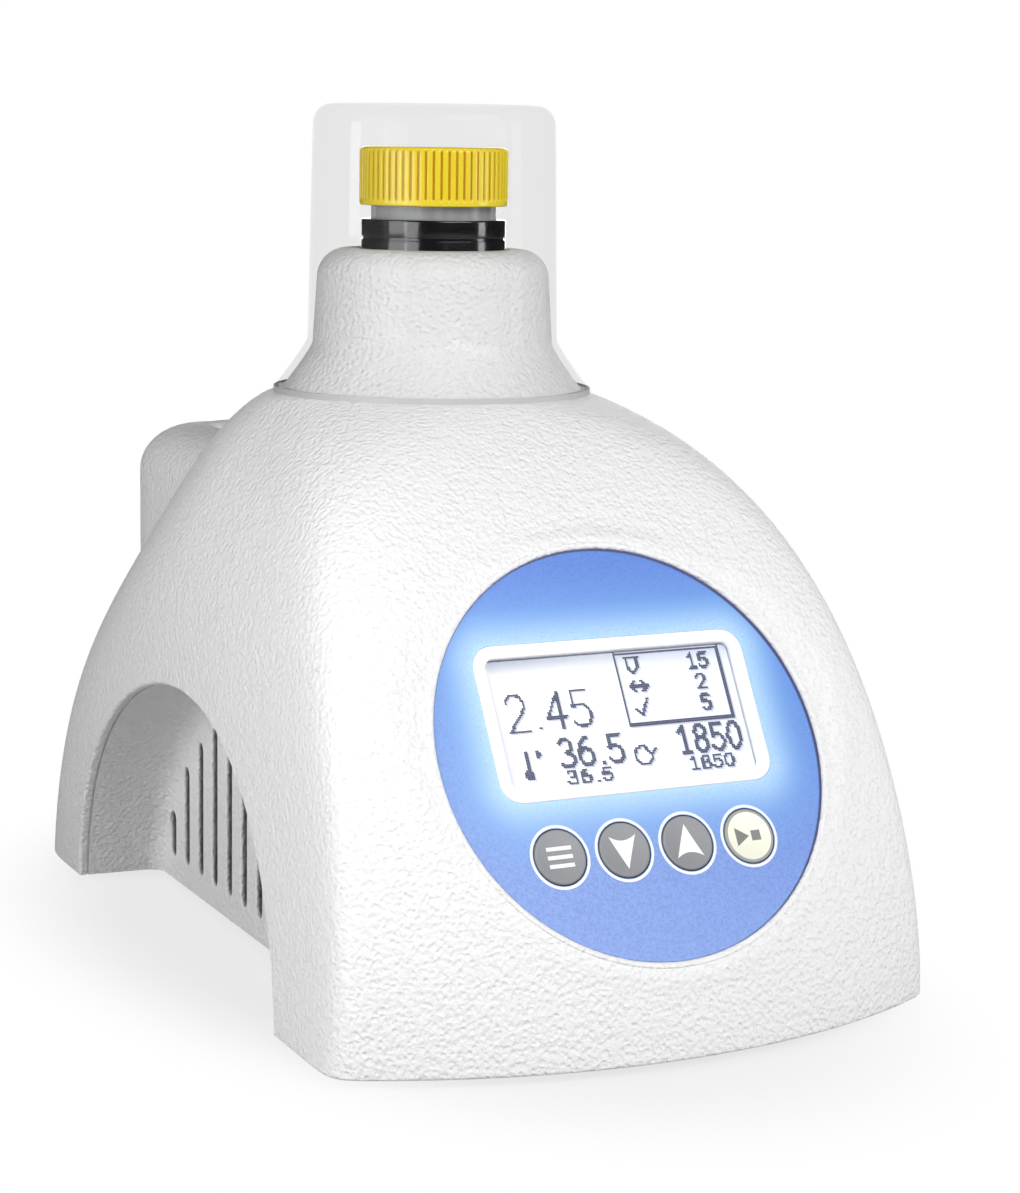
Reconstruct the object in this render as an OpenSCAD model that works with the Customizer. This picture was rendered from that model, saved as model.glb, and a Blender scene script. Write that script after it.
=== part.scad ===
// Bench bioreactor: a moulded housing with a lift-off clear lid over a spinning, capped 50 ml tube.
// Millimetres, +Z up, front towards -Y. The origin is under the middle of the footprint, on the bench.

/* [Housing] */
// Distance from the tube's axis to each side, at the foot
side_reach = 67; // [60:1:85]
// Distance from the tube's axis to the front, at the foot
front_reach = 125; // [112:1:150]
// Distance from the tube's axis to the back, at the foot
back_reach = 115; // [112:1:140]
// Radius of the front's curve, seen from above
front_curve_r = 153; // [130:1:300]
// Taper of each side towards the back, in degrees
side_taper = 4.4; // [2:0.1:6]
// Wall thickness of the housing
wall = 2.8; // [2:0.1:3.5]
// Height of the seam where the lid sits
seam_z = 133.8; // [128:0.2:165]
// Radius of the seam
seam_r = 37.9; // [35:0.1:42]
// Height that the feet lift the housing's edge off the bench
foot_z = 2; // [1:0.5:5]

/* [Hump] */
// Distance of the hump's flat back ahead of the foot's back
hump_set_in = 5; // [0:0.5:12]
// Half width of the hump
hump_half = 36; // [34:1:45]
// Height of the hump's rear edge
hump_top = 118.5; // [108:0.5:122]
// Radius of the hump's upper edges
hump_round = 13; // [8:1:16]

/* [Side arches] */
// Radius of each side arch
arch_r = 77.5; // [60:0.5:82]
// Height of the arch's centre; it is below the bench
arch_z = -11.9; // [-25:0.1:-5]
// Depth of the pocket behind the arch
arch_depth = 24; // [14:1:26]
// Radius between the pocket's ceiling and its inner wall
arch_fillet = 12; // [6:1:12]
// Number of vent slots in each pocket
vent_count = 12; // [4:1:12]
// Spacing of the vent slots
vent_pitch = 11.3; // [8:0.1:11.5]
// Width of a vent slot
vent_w = 2.4; // [1.6:0.1:4]

/* [Neck and lid] */
// Height of the neck's flat top
neck_top = 168; // [160:0.5:176]
// Outer radius of the neck under the lid
neck_r = 26.6; // [26:0.1:27]
// Height of the lid's top
lid_top = 202; // [199:0.5:230]
// Outer radius of the lid at its top
lid_r = 28.9; // [28.9:0.1:34]
// Wall thickness of the lid
lid_wall = 2; // [1.5:0.1:2]
// Height over which the lid flares out to the seam
lid_flare_h = 11.5; // [8:0.5:16]
// Thickness of the ring that the lid sits on
gasket_t = 1.1; // [0.8:0.1:2]

/* [Front panel] */
// Radius of the round panel
panel_r = 47; // [44:0.5:52]
// Lean of the panel back from the housing's surface behind it, in degrees
panel_tilt = -0.1; // [-2:0.1:2]
// Distance of the panel's centre behind the housing's front surface
panel_set_in = 6.9; // [6:0.1:8]
// Height of the panel's centre
panel_z = 63.7; // [60:0.1:72]
// Thickness of the front overlay
overlay_t = 0.8; // [0.4:0.1:1.2]
// Width of the thin lip round the panel
lip_w = 1.5; // [1:0.1:3]
// Half width of the display's white bezel
bezel_half_w = 33.8; // [30:0.1:35]
// Half height of the display's white bezel
bezel_half_h = 17.7; // [15:0.1:18]
// Distance of the display above the panel's centre
display_up = 8.4; // [6:0.1:10]
// Width of the bezel's border
bezel_border = 2.9; // [2:0.1:4]
// Radius of a key
key_r = 6.1; // [4:0.1:6.5]
// Spacing of the keys
key_pitch = 15.7; // [15:0.1:17]
// Distance of the key row below the panel's centre
key_down_by = 21.7; // [19:0.1:23]
// Travel of a key
key_travel = 0.4; // [0.2:0.1:0.6]

/* [Tube and rotor] */
// Outer radius of the tube
tube_r = 15; // [12:0.1:15.1]
// Wall thickness of the tube
tube_wall = 1.2; // [0.8:0.1:1.6]
// Length of the tube without its cap
tube_len = 115; // [100:1:116]
// Height of the tube's rim
tube_rim_z = 189.1; // [184:0.1:189.2]
// Outer radius of the tube's collar
collar_r = 17.3; // [16.8:0.1:17.5]
// Height of the top of the collar
collar_top = 175; // [171:0.5:177]
// Outer radius of the cap
cap_r = 17.3; // [17.3:0.1:19]
// Height of the cap
cap_h = 13; // [11:0.5:15]
// Number of grip ribs on the cap
cap_ribs = 60; // [24:6:72]
// Radius of the motor shaft
shaft_r = 3; // [2:0.1:3.5]
// Radius of the motor
motor_r = 18; // [14:0.5:20]
// Height of the motor's body
motor_h = 34; // [20:1:38]

/* [Hidden] */
$fn = 64;

// Clearances: between a piece and its pocket, of a running shaft, and of a turning sleeve
gap = 0.3;
run_gap = 0.05;
spin_gap = 0.6;
eps = 0.01;

// The tube's axis stands behind the middle of the footprint
neck_y = (front_reach - back_reach) / 2;
// Distance from the tube's axis to the hump's back
hump_reach = back_reach - hump_set_in;

// Fullness of the dome: exponents of its side, front and back profiles
SIDE_FULL = [5, 1.16];
FRONT_FULL = [1.66, 1.28];
BACK_FULL = [1.25, 1.8];
// Sharpness of the foot's corners at the front and the back, and of the hump's
FRONT_SHARP = 45;
BACK_SHARP = 22;
HUMP_SHARP = 14;

rise = seam_z - foot_z;
hump_join_r = 60;
hump_join_z = hump_top + 4.5;

// Directions of the dome's corners, and how many facets lie between them
front_corner_a = -54;
back_corner_a = 62;
CORNER_STEPS = [6, 10, 8];

function lerp(a, b, t) = a + (b - a) * t;
function ease(t) = (1 - cos(180 * t)) / 2;
function full(t, e) = pow(max(0, 1 - pow(t, e[0])), 1 / e[1]);

// The panel's centre lies behind the housing's front surface and leans with it, to the nearest tenth
function front_at(z) =
    seam_r + (front_reach - seam_r) * full((z - foot_z) / (seam_z - foot_z), FRONT_FULL);
function nearest_tenth(x) = round(10 * x) / 10;
slope_step = 0.5;
front_slope = (front_at(panel_z - slope_step) - front_at(panel_z + slope_step)) / (2 * slope_step);
panel_y = nearest_tenth(front_at(panel_z) - panel_set_in);
panel_lean = nearest_tenth(atan(front_slope) + panel_tilt);

// Reach of the dome from the tube's axis in direction a, where t runs from the foot to the seam.
// The sides, the curved front and the back are blended by a power mean that turns into a circle.
function dome_reach(a, t, inset) =
    let (
        r0 = seam_r - inset,
        side = r0 + (side_reach - seam_r) * full(t, SIDE_FULL),
        front = r0 + (front_reach - seam_r) * full(t, FRONT_FULL),
        back = r0 + (back_reach - seam_r) * full(t, BACK_FULL),
        taper = side_taper * (1 - t),
        s = sin(a),
        across = max(eps / 100, (abs(cos(a)) * cos(taper) + s * sin(taper)) / side),
        curve_r = (front_curve_r - inset) / pow(max(eps / 10, 1 - t), 0.65),
        cy = front - curve_r,
        ahead = -s * cy + sqrt(pow(s * cy, 2) - pow(cy, 2) + pow(curve_r, 2)),
        n_front = lerp(2, FRONT_SHARP, 1 - t),
        n_back = lerp(2, BACK_SHARP, pow(1 - t, 3))
    )
    s < 0
        ? pow(pow(across, n_front) + pow(1 / ahead, n_front), -1 / n_front)
        : pow(pow(across, n_back) + pow(s / back, n_back), -1 / n_back);

// Distance that the hump's rounded upper edge draws in at height z
function hump_draw(z) =
    let (up = min(max(z - hump_top + hump_round, 0), hump_round))
    hump_round - sqrt(pow(hump_round, 2) - pow(up, 2));

// Reach of the hump in direction a at height z; its top slopes up to meet the dome
function hump_reach_at(a, z, inset) =
    let (
        half = hump_half - hump_draw(z) - inset,
        edge = hump_reach - hump_draw(z) - inset,
        t = min(1, max(0, (z - hump_top) / (hump_join_z - hump_top))),
        far = lerp(edge, hump_join_r - inset, t)
    )
    sin(a) <= 0
        ? 0
        : pow(pow(abs(cos(a)) / half, HUMP_SHARP) + pow(sin(a) / far, HUMP_SHARP), -1 / HUMP_SHARP);

function body_reach(a, z, inset) =
    max(
        dome_reach(a, min(1, max(0, (z - foot_z) / rise)), inset),
        z > hump_join_z ? 0 : hump_reach_at(a, z, inset)
    );

HALF_ANGLES = concat(
    [for (i = [0:CORNER_STEPS[0] - 1]) lerp(-90, front_corner_a, sin(90 * i / CORNER_STEPS[0]))],
    [for (i = [0:CORNER_STEPS[1] - 1])
        lerp(front_corner_a, back_corner_a, ease(i / CORNER_STEPS[1]))],
    [for (i = [0:CORNER_STEPS[2]])
        lerp(back_corner_a, 90, 1 - cos(90 * i / CORNER_STEPS[2]))]
);
ANGLES = concat(
    HALF_ANGLES,
    [for (i = [len(HALF_ANGLES) - 2:-1:1]) 180 - HALF_ANGLES[i]]
);
LEVELS = concat(
    [for (i = [0:8]) lerp(foot_z, hump_top - hump_round, i / 8)],
    [for (i = [1:5]) hump_top - hump_round + hump_round * sin(18 * i)],
    [for (i = [1:7]) lerp(hump_top, seam_z, sin(90 * i / 7))]
);

// A closed skin through one ring of points at each level
module ring_skin(rings) {
    n = len(rings[0]);
    m = len(rings);
    points = [for (ring = rings) each ring];
    sides = [
        for (i = [0:m - 2], j = [0:n - 1], k = [0, 1])
            let (a = i * n + j, b = i * n + (j + 1) % n)
            k == 0 ? [a, a + n, b] : [b, a + n, b + n]
    ];
    floor_cap = [for (j = [1:n - 2]) [0, j, j + 1]];
    top_cap = [for (j = [1:n - 2]) [(m - 1) * n, (m - 1) * n + j + 1, (m - 1) * n + j]];
    polyhedron(points, concat(sides, floor_cap, top_cap), convexity = 8);
}

function ring_at(z, level, inset) =
    [for (a = ANGLES) let (r = body_reach(a, level, inset)) [r * cos(a), r * sin(a), z]];

module dome() {
    ring_skin([for (z = LEVELS) ring_at(z, z, 0)]);
}

// The space inside the dome, one wall thinner all over and open below
module dome_cavity() {
    squeeze = (rise - wall) / rise;
    ring_skin(concat(
        [ring_at(foot_z - 1, foot_z, wall)],
        [for (z = LEVELS) ring_at(foot_z + eps + (z - foot_z) * squeeze, z, wall)]
    ));
}

module on_axis() {
    translate([0, neck_y, 0]) children();
}

module both_sides() {
    children();
    mirror([1, 0, 0]) children();
}

// Local frame of the front panel: +X right, +Y up the panel, +Z out of it
module on_panel() {
    on_axis() translate([0, -panel_y, panel_z]) rotate([90 - panel_lean, 0, 0]) children();
}

// Local frame of the right-hand arch: +Z out of the housing's side
module on_arch() {
    translate([0, 0, arch_z]) rotate([0, 0, side_taper]) rotate([0, 90, 0]) children();
}

module rounded_rect(w, h, r) {
    union() {
        square([w - 2 * r, h], center = true);
        square([w, h - 2 * r], center = true);
        for (x = [-1, 1], y = [-1, 1])
            translate([x * (w / 2 - r), y * (h / 2 - r)]) circle(r = r);
    }
}

module rounded_block(w, h, r, t) {
    linear_extrude(height = t) rounded_rect(w, h, r);
}

module ring(r_out, r_in, h) {
    difference() {
        cylinder(r = r_out, h = h);
        translate([0, 0, -1]) cylinder(r = r_in, h = h + 2);
    }
}

// A pan-head screw: the head's seat is at z = 0 and the shank points down
module screw(shank_r, shank_len, head_r, head_h) {
    cylinder(r = head_r, h = head_h);
    translate([0, 0, -shank_len]) cylinder(r = shank_r, h = shank_len + eps);
}

/* ---- housing ---- */

arch_wall_at = side_reach - arch_depth;
OUT = 60;

// The pocket behind an arch, grown by the given amount
module arch_pocket(grow) {
    r = arch_r + grow;
    f = arch_fillet + grow;
    h0 = arch_wall_at - grow;
    on_arch() rotate_extrude($fn = 96) union() {
        translate([0, h0]) square([r - f, arch_depth + OUT]);
        translate([0, h0 + f]) square([r, arch_depth + OUT - f]);
        translate([r - f, h0 + f]) circle(r = f);
    }
}

vent_mid = 9.8;
vent_bottom = 7.5;
vent_arc_r = arch_r - 8.5;

// Tops of the vent slots follow an arc inside the arch
function vent_top(y) = arch_z + sqrt(pow(vent_arc_r, 2) - pow(y - vent_mid, 2));

module vent_slot(y) {
    low = vent_bottom + vent_w / 2;
    high = max(low + vent_w, vent_top(y) - vent_w / 2);
    rotate([0, 0, side_taper]) translate([arch_wall_at - wall - 2, y, 0]) rotate([90, 0, 90])
        linear_extrude(height = wall + 4) union() {
            translate([-vent_w / 2, low]) square([vent_w, high - low]);
            translate([0, low]) circle(d = vent_w);
            translate([0, high]) circle(d = vent_w);
        }
}

module vent_slots() {
    for (i = [0:vent_count - 1])
        vent_slot(vent_mid + (i - (vent_count - 1) / 2) * vent_pitch);
}

// Depths below the panel's face: overlay, floor, pieces behind
floor_w = -overlay_t;
floor_t = 2.6;
floor_back = floor_w - floor_t;
lip_up = 0.6;
pad_r = panel_r + lip_w;

board_w = 84;
board_h = 60;
board_t = 1.6;
board_top_w = -11;
stand_x = 38.4;
stand_top_y = 24;
stand_low_y = -26;
stand_r = 2.6;
M2_HOLE = 0.9;

module at_stands() {
    for (x = [-stand_x, stand_x], y = [stand_top_y, stand_low_y])
        translate([x, y, 0]) children();
}

module at_keys() {
    for (i = [0:3]) translate([(i - 1.5) * key_pitch, -key_down_by, 0]) children();
}

// Bosses for the base screws stand against the front and the back wall
boss_r = 4;
boss_top = 26;
boss_front_x = 34;
boss_back_x = 30;
boss_hole_r = 1.3;
boss_front_y =
    -(front_reach - front_curve_r + sqrt(pow(front_curve_r, 2) - pow(boss_front_x, 2)))
    + wall + 3.4;
boss_back_y = back_reach - wall - 3.4;
BOSSES = [
    [-boss_front_x, boss_front_y], [boss_front_x, boss_front_y],
    [-boss_back_x, boss_back_y], [boss_back_x, boss_back_y]
];
plate_z = foot_z + 0.6;
plate_t = 2.5;
plate_top = plate_z + plate_t;

module at_bosses() {
    for (p = BOSSES) translate([p[0], p[1], 0]) children();
}

block_r = 23.4;
neck_bore_r = collar_r + spin_gap;
neck_roof = 2.6;
neck_hollow_r = block_r + spin_gap;
lid_gap = lid_r - lid_wall - neck_r;
lid_waist_z = seam_z + gasket_t + lid_flare_h;
lid_waist_r = lid_r + 1.1;

// Radius of the lid's outside at height z: nearly straight, then flaring to the seam
function lid_outer(z) =
    z > lid_waist_z
        ? lerp(lid_waist_r, lid_r, (z - lid_waist_z) / (lid_top - lid_waist_z))
        : lid_waist_r + (seam_r - lid_waist_r) * pow((lid_waist_z - z) / lid_flare_h, 1.15);

FLARE = [for (i = [0:6]) lerp(seam_z + gasket_t, lid_waist_z, i / 6)];
shoulder = 7;

// The neck follows the lid's inside, and its shoulder is rounded
module neck_outer() {
    skin = lid_wall + lid_gap;
    rotate_extrude() difference() {
        union() {
            polygon(concat(
                [[neck_hollow_r - 1, seam_z - 1], [seam_r - skin - gap, seam_z - 1]],
                [for (z = FLARE) [lid_outer(z) - skin - gap, z - gasket_t]],
                [[neck_r, neck_top - shoulder], [neck_hollow_r - 1, neck_top - shoulder]]
            ));
            translate([neck_bore_r, neck_top - shoulder])
                square([neck_r - shoulder - neck_bore_r, shoulder]);
            intersection() {
                translate([neck_r - shoulder, neck_top - shoulder]) circle(r = shoulder);
                translate([neck_bore_r, neck_top - shoulder - eps]) square([20, 20]);
            }
        }
        translate([0, seam_z - 10]) square([neck_hollow_r, neck_top - neck_roof - seam_z + 10]);
    }
}

rear_in_y = hump_reach - wall;
fan_z = 83;
fan_size = 40;
fan_t = 10;
fan_bore_r = 18.6;
fan_hole = 16;
grille_n = 4;
grille_pitch = 4.6;
grille_r = 17;

// Round grille of upright slots in the hump's back, in front of the fan
module rear_grille() {
    for (i = [-grille_n + 0.5:1:grille_n - 0.5]) {
        half = sqrt(pow(grille_r, 2) - pow(i * grille_pitch, 2)) - vent_w / 2;
        translate([i * grille_pitch, rear_in_y - 2, fan_z]) rotate([-90, 0, 0])
            linear_extrude(height = wall + 4) union() {
                square([vent_w, 2 * half], center = true);
                for (y = [-half, half]) translate([0, y]) circle(d = vent_w);
            }
    }
}

switch_x = -12;
switch_z = 46;
switch_w = 13;
switch_h = 19;
inlet_x = 12;
inlet_z = 54;
inlet_r = 5.4;
port_x = 12;
port_z = 38;
port_w = 12;
port_h = 11;

module rear_openings() {
    translate([switch_x - switch_w / 2 - 0.1, rear_in_y - 1, switch_z - switch_h / 2 - 0.1])
        cube([switch_w + 0.2, wall + 2, switch_h + 0.2]);
    translate([inlet_x, rear_in_y - 1, inlet_z]) rotate([-90, 0, 0])
        cylinder(r = inlet_r + 0.1, h = wall + 2);
    translate([port_x - port_w / 2 - 0.1, rear_in_y - 1, port_z - port_h / 2 - 0.1])
        cube([port_w + 0.2, wall + 2, port_h + 0.2]);
}

module housing() {
    color("white") difference() {
        union() {
            on_axis() dome();
            on_axis() neck_outer();
            on_panel() translate([0, 0, -10]) cylinder(r = pad_r, h = 10 + lip_up);
        }
        difference() {
            on_axis() dome_cavity();
            on_axis() both_sides() arch_pocket(wall);
            on_panel() translate([0, 0, floor_back]) cylinder(r = pad_r + 2, h = 40);
            on_panel() at_stands() translate([0, 0, board_top_w]) cylinder(r = stand_r, h = 20);
            on_axis() at_bosses() translate([0, 0, plate_top + 0.1])
                cylinder(r = boss_r, h = boss_top - plate_top);
        }
        on_axis() both_sides() arch_pocket(0);
        on_axis() both_sides() vent_slots();
        on_axis() translate([0, 0, seam_z - 12]) cylinder(r = neck_hollow_r, h = 14);
        on_panel() translate([0, 0, floor_w]) cylinder(r = panel_r + 0.1, h = 30);
        on_panel() translate([0, 0, lip_up]) cylinder(r = pad_r + 0.5, h = 30);
        on_panel() translate([0, display_up, floor_back - 1])
            rounded_block(window_w, window_h, window_round, floor_t + 2);
        on_panel() at_keys() translate([0, 0, floor_back - 1])
            cylinder(r = key_r + 0.3, h = floor_t + 2);
        on_panel() at_stands() translate([0, 0, board_top_w - 1])
            cylinder(r = M2_HOLE, h = -board_top_w - 1 + floor_back);
        on_axis() at_bosses() translate([0, 0, plate_top])
            cylinder(r = boss_hole_r, h = boss_top - plate_top - 2);
        on_axis() rear_openings();
        on_axis() rear_grille();
    }
}

/* ---- base ---- */

foot_r = 6.5;
foot_plug_r = 3;
FEET = [
    [-(side_reach - 11), -(front_reach - 37)], [side_reach - 11, -(front_reach - 37)],
    [-(side_reach - 21), back_reach - 17], [side_reach - 21, back_reach - 17]
];
ctrl_x = 29;
ctrl_front_y = -front_reach + 30;
ctrl_back_y = ctrl_front_y + 50;
ctrl_z = 14;

module at_ctrl_posts() {
    for (x = [-ctrl_x, ctrl_x], y = [ctrl_front_y, ctrl_back_y]) translate([x, y, 0]) children();
}

module base_plate() {
    color("dimgray") on_axis() difference() {
        union() {
            translate([0, 0, plate_z]) linear_extrude(height = plate_t)
                polygon([for (a = ANGLES)
                    let (r = dome_reach(a, 0.03, wall + gap)) [r * cos(a), r * sin(a)]]);
            at_ctrl_posts() translate([0, 0, plate_top - eps]) cylinder(r = 3, h = ctrl_z - plate_top);
        }
        both_sides() arch_pocket(wall + gap);
        at_bosses() translate([0, 0, plate_z - 1]) cylinder(r = 1.6, h = plate_t + 2);
        at_bosses() translate([0, 0, plate_z - 1]) cylinder(r = 3.2, h = 2.6);
        for (p = FEET) translate([p[0], p[1], plate_z - 1]) cylinder(r = foot_plug_r + 0.05, h = 6);
        at_ctrl_posts() translate([0, 0, plate_top]) cylinder(r = M2_HOLE, h = ctrl_z);
    }
}

module rubber_feet() {
    color("black") on_axis() for (p = FEET) translate([p[0], p[1], 0]) union() {
        cylinder(r = foot_r, h = plate_z);
        cylinder(r = foot_plug_r, h = plate_top + 0.6);
    }
}

module base_screws() {
    color("silver") on_axis() at_bosses() translate([0, 0, plate_z + 1.6]) rotate([180, 0, 0])
        screw(boss_hole_r - run_gap, 12, 2.8, 1.5);
}

/* ---- lid ---- */

module lid_gasket() {
    color("gainsboro") on_axis() translate([0, 0, seam_z])
        ring(seam_r - 0.2, seam_r - lid_wall - 0.4, gasket_t);
}

lid_round = 4.5;

module clear_lid() {
    base_z = seam_z + gasket_t;
    color("aliceblue", 0.4) on_axis() rotate_extrude($fn = 96) difference() {
        union() {
            polygon(concat(
                [[0, base_z]],
                [for (z = FLARE) [lid_outer(z), z]],
                [[lid_r, lid_top - lid_round], [0, lid_top - lid_round]]
            ));
            translate([0, lid_top - lid_round - eps]) square([lid_r - lid_round, lid_round + eps]);
            intersection() {
                translate([lid_r - lid_round, lid_top - lid_round]) circle(r = lid_round);
                translate([0, lid_top - lid_round - eps]) square([lid_r, lid_round + 1]);
            }
        }
        polygon(concat(
            [[0, base_z - 1], [seam_r - lid_wall, base_z - 1]],
            [for (z = FLARE) [lid_outer(z) - lid_wall, z]],
            [[lid_r - lid_wall, lid_top - lid_round], [lid_r - lid_round, lid_top - lid_wall],
             [0, lid_top - lid_wall]]
        ));
    }
}

/* ---- front panel ---- */

window_w = 2 * (bezel_half_w - bezel_border);
window_h = 2 * (bezel_half_h - bezel_border);
window_round = 1.2;
bezel_up = 0.25;

module front_overlay() {
    color("royalblue") on_panel() difference() {
        translate([0, 0, floor_w]) cylinder(r = panel_r - 0.05, h = overlay_t);
        translate([0, display_up, floor_w - 1])
            rounded_block(2 * bezel_half_w + 0.1, 2 * bezel_half_h + 0.1, 5, 3);
        at_keys() translate([0, 0, floor_w - 1]) cylinder(r = key_r + 0.25, h = 3);
    }
}

module display_bezel() {
    color("white") on_panel() translate([0, display_up, floor_w]) difference() {
        rounded_block(2 * bezel_half_w, 2 * bezel_half_h, 5, overlay_t + bezel_up);
        translate([0, 0, -1]) rounded_block(window_w, window_h, window_round, 4);
    }
}

// The window is a thin clear pane, set a little below the bezel's face
pane_top_w = -0.3;
pane_t = 0.9;

module display_window() {
    color("lightsteelblue", 0.6) on_panel() translate([0, display_up, pane_top_w - pane_t])
        rounded_block(window_w - 0.1, window_h - 0.1, window_round, pane_t);
}

module_w = 68;
module_h = 35.4;

// The display's glass stands up through the floor, close under the window
module display_module() {
    color("lightcyan") on_panel() translate([0, display_up, board_top_w]) union() {
        rounded_block(module_w, module_h, 1, floor_back - board_top_w - 0.05);
        rounded_block(window_w - 0.6, window_h - 0.6, 0.8, pane_top_w - pane_t - 0.05 - board_top_w);
    }
}

module display_board() {
    color("green") on_panel() translate([0, -0.5, board_top_w - board_t]) difference() {
        rounded_block(board_w, board_h, 4, board_t);
        translate([0, 0.5, -1]) at_stands() cylinder(r = 1.2, h = 4);
    }
}

module board_screws() {
    color("silver") on_panel() at_stands() translate([0, 0, board_top_w - board_t])
        rotate([180, 0, 0]) screw(M2_HOLE - run_gap, 6, 1.9, 1.2);
}

switch_top_w = -7.1;

module key_switches() {
    color("dimgray") on_panel() at_keys() union() {
        translate([-3, -3, board_top_w]) cube([6, 6, 3.3]);
        translate([0, 0, board_top_w]) cylinder(r = 1.6, h = switch_top_w - board_top_w);
    }
}

// A key: its face, a flange that holds it in behind the panel's floor, and a stem for its switch
module key(i) {
    flange_top = floor_back - gap;
    on_panel() translate([(i - 1.5) * key_pitch, -key_down_by, 0]) union() {
        translate([0, 0, flange_top - 0.5]) cylinder(r = key_r, h = bezel_up - flange_top + 0.5);
        translate([0, 0, flange_top - 0.8]) cylinder(r = key_r + 0.7, h = 0.8);
        translate([0, 0, switch_top_w + key_travel + 0.1])
            cylinder(r = 1.4, h = flange_top - switch_top_w - key_travel - 0.6);
    }
}

module key_menu() {
    color("slategray") key(0);
}

module key_down() {
    color("slategray") key(1);
}

module key_up() {
    color("slategray") key(2);
}

module key_start() {
    color("ivory") key(3);
}

/* ---- control board ---- */

module control_board() {
    mid_y = (ctrl_front_y + ctrl_back_y) / 2;
    color("darkgreen") on_axis() difference() {
        union() {
            translate([0, mid_y, ctrl_z]) rounded_block(2 * ctrl_x + 8, 58, 2, board_t);
            translate([-14, mid_y + 2, ctrl_z + board_t - eps]) cube([14, 14, 1.6]);
            translate([8, mid_y - 14, ctrl_z + board_t - eps]) cube([9, 5, 1.6]);
            for (x = [8, 17]) translate([x, mid_y + 8, ctrl_z + board_t - eps])
                cylinder(r = 3.2, h = 8);
            translate([-18, mid_y - 24, ctrl_z + board_t - eps]) cube([22, 5, 6]);
        }
        at_ctrl_posts() translate([0, 0, ctrl_z - 1]) cylinder(r = 1.2, h = 4);
    }
}

module control_screws() {
    color("silver") on_axis() at_ctrl_posts() translate([0, 0, ctrl_z + board_t])
        screw(M2_HOLE - run_gap, 6, 1.9, 1.2);
}

/* ---- chassis, motor and rotor ---- */

chassis_z = 59.5;
chassis_t = 6;
chassis_top = chassis_z + chassis_t;
chassis_half = 33;
post_at = 27;
bearing_r = 9.5;
bearing_t = 5;
motor_hole_at = 12;

module at_posts() {
    for (x = [-post_at, post_at], y = [-post_at, post_at]) translate([x, y, 0]) children();
}

module at_motor_holes() {
    for (a = [45:90:315]) rotate([0, 0, a]) translate([motor_hole_at, 0, 0]) children();
}

module chassis_plate() {
    color("silver") on_axis() translate([0, 0, chassis_z]) difference() {
        rounded_block(2 * chassis_half, 2 * chassis_half, 6, chassis_t);
        translate([0, 0, chassis_t - bearing_t]) cylinder(r = bearing_r, h = bearing_t + 1);
        translate([0, 0, -1]) cylinder(r = bearing_r - 1.5, h = chassis_t + 2);
        at_posts() translate([0, 0, -1]) cylinder(r = 1.7, h = chassis_t + 2);
        at_motor_holes() translate([0, 0, -1]) cylinder(r = 1.3, h = chassis_t + 2);
        at_motor_holes() translate([0, 0, chassis_t - 2.2]) cylinder(r = 2.4, h = 4);
    }
}

module chassis_posts() {
    color("silver") on_axis() at_posts() translate([0, 0, plate_top]) difference() {
        cylinder(r = 4, h = chassis_z - plate_top);
        translate([0, 0, chassis_z - plate_top - 12]) cylinder(r = 1.3, h = 13);
    }
}

module chassis_screws() {
    color("silver") on_axis() union() {
        at_posts() translate([0, 0, chassis_top]) screw(1.25, 15, 2.8, 1.8);
        at_motor_holes() translate([0, 0, chassis_top - 2.2]) screw(1.25, 9, 2.3, 1.6);
    }
}

motor_wall = 1.6;
motor_top = chassis_z;
motor_base = motor_top - motor_h;

module motor_can() {
    color("gray") on_axis() difference() {
        translate([0, 0, motor_base + 3]) cylinder(r = motor_r, h = motor_h - 3);
        translate([0, 0, motor_base + 2]) cylinder(r = motor_r - motor_wall, h = motor_h - 9);
        translate([0, 0, motor_base]) cylinder(r = shaft_r + run_gap, h = motor_h + 2);
        at_motor_holes() translate([0, 0, motor_top - 6]) cylinder(r = 1.3, h = 7);
    }
}

module motor_end_cap() {
    color("black") on_axis() translate([0, 0, motor_base]) difference() {
        union() {
            cylinder(r = motor_r, h = 3);
            cylinder(r = motor_r - motor_wall - 0.05, h = 5);
        }
        translate([0, 0, 1]) cylinder(r = shaft_r + run_gap, h = 6);
    }
}

hub_z = chassis_top + 1.5;
hub_h = 6;

module motor_rotor() {
    color("dimgray") on_axis() translate([0, 0, motor_base + 7])
        ring(motor_r - motor_wall - 1, shaft_r + 0.02, motor_h - 16);
}

module motor_shaft() {
    color("silver") on_axis() translate([0, 0, motor_base + 1.3])
        cylinder(r = shaft_r, h = hub_z + hub_h - motor_base - 1.3);
}

module shaft_bearing() {
    color("silver") on_axis() translate([0, 0, chassis_top - bearing_t])
        ring(bearing_r - 0.02, shaft_r + run_gap, bearing_t);
}

tube_bottom = tube_rim_z - tube_len;
holder_r = collar_r;
holder_bore_r = tube_r + 0.3;
sensor_z = tube_bottom + 22;
cone_h = 15;
cone_tip_r = 4;

// The holder: a hub on the shaft, a cup round the tube with two light windows, and the collar
module tube_holder() {
    color("black") on_axis() difference() {
        union() {
            translate([0, 0, hub_z]) cylinder(r = 8, h = tube_bottom - hub_z);
            translate([0, 0, tube_bottom - 3]) cylinder(r = holder_r, h = collar_top - tube_bottom + 3);
        }
        translate([0, 0, tube_bottom]) cylinder(r = holder_bore_r, h = tube_len);
        translate([0, 0, hub_z - 1]) cylinder(r = shaft_r + 0.02, h = hub_h + 1);
        translate([-30, -3, sensor_z - 5]) cube([60, 6, 10]);
        translate([0, 0, neck_top + 2.2]) ring(holder_r + 1, holder_r - 0.4, 0.6);
    }
}

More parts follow.
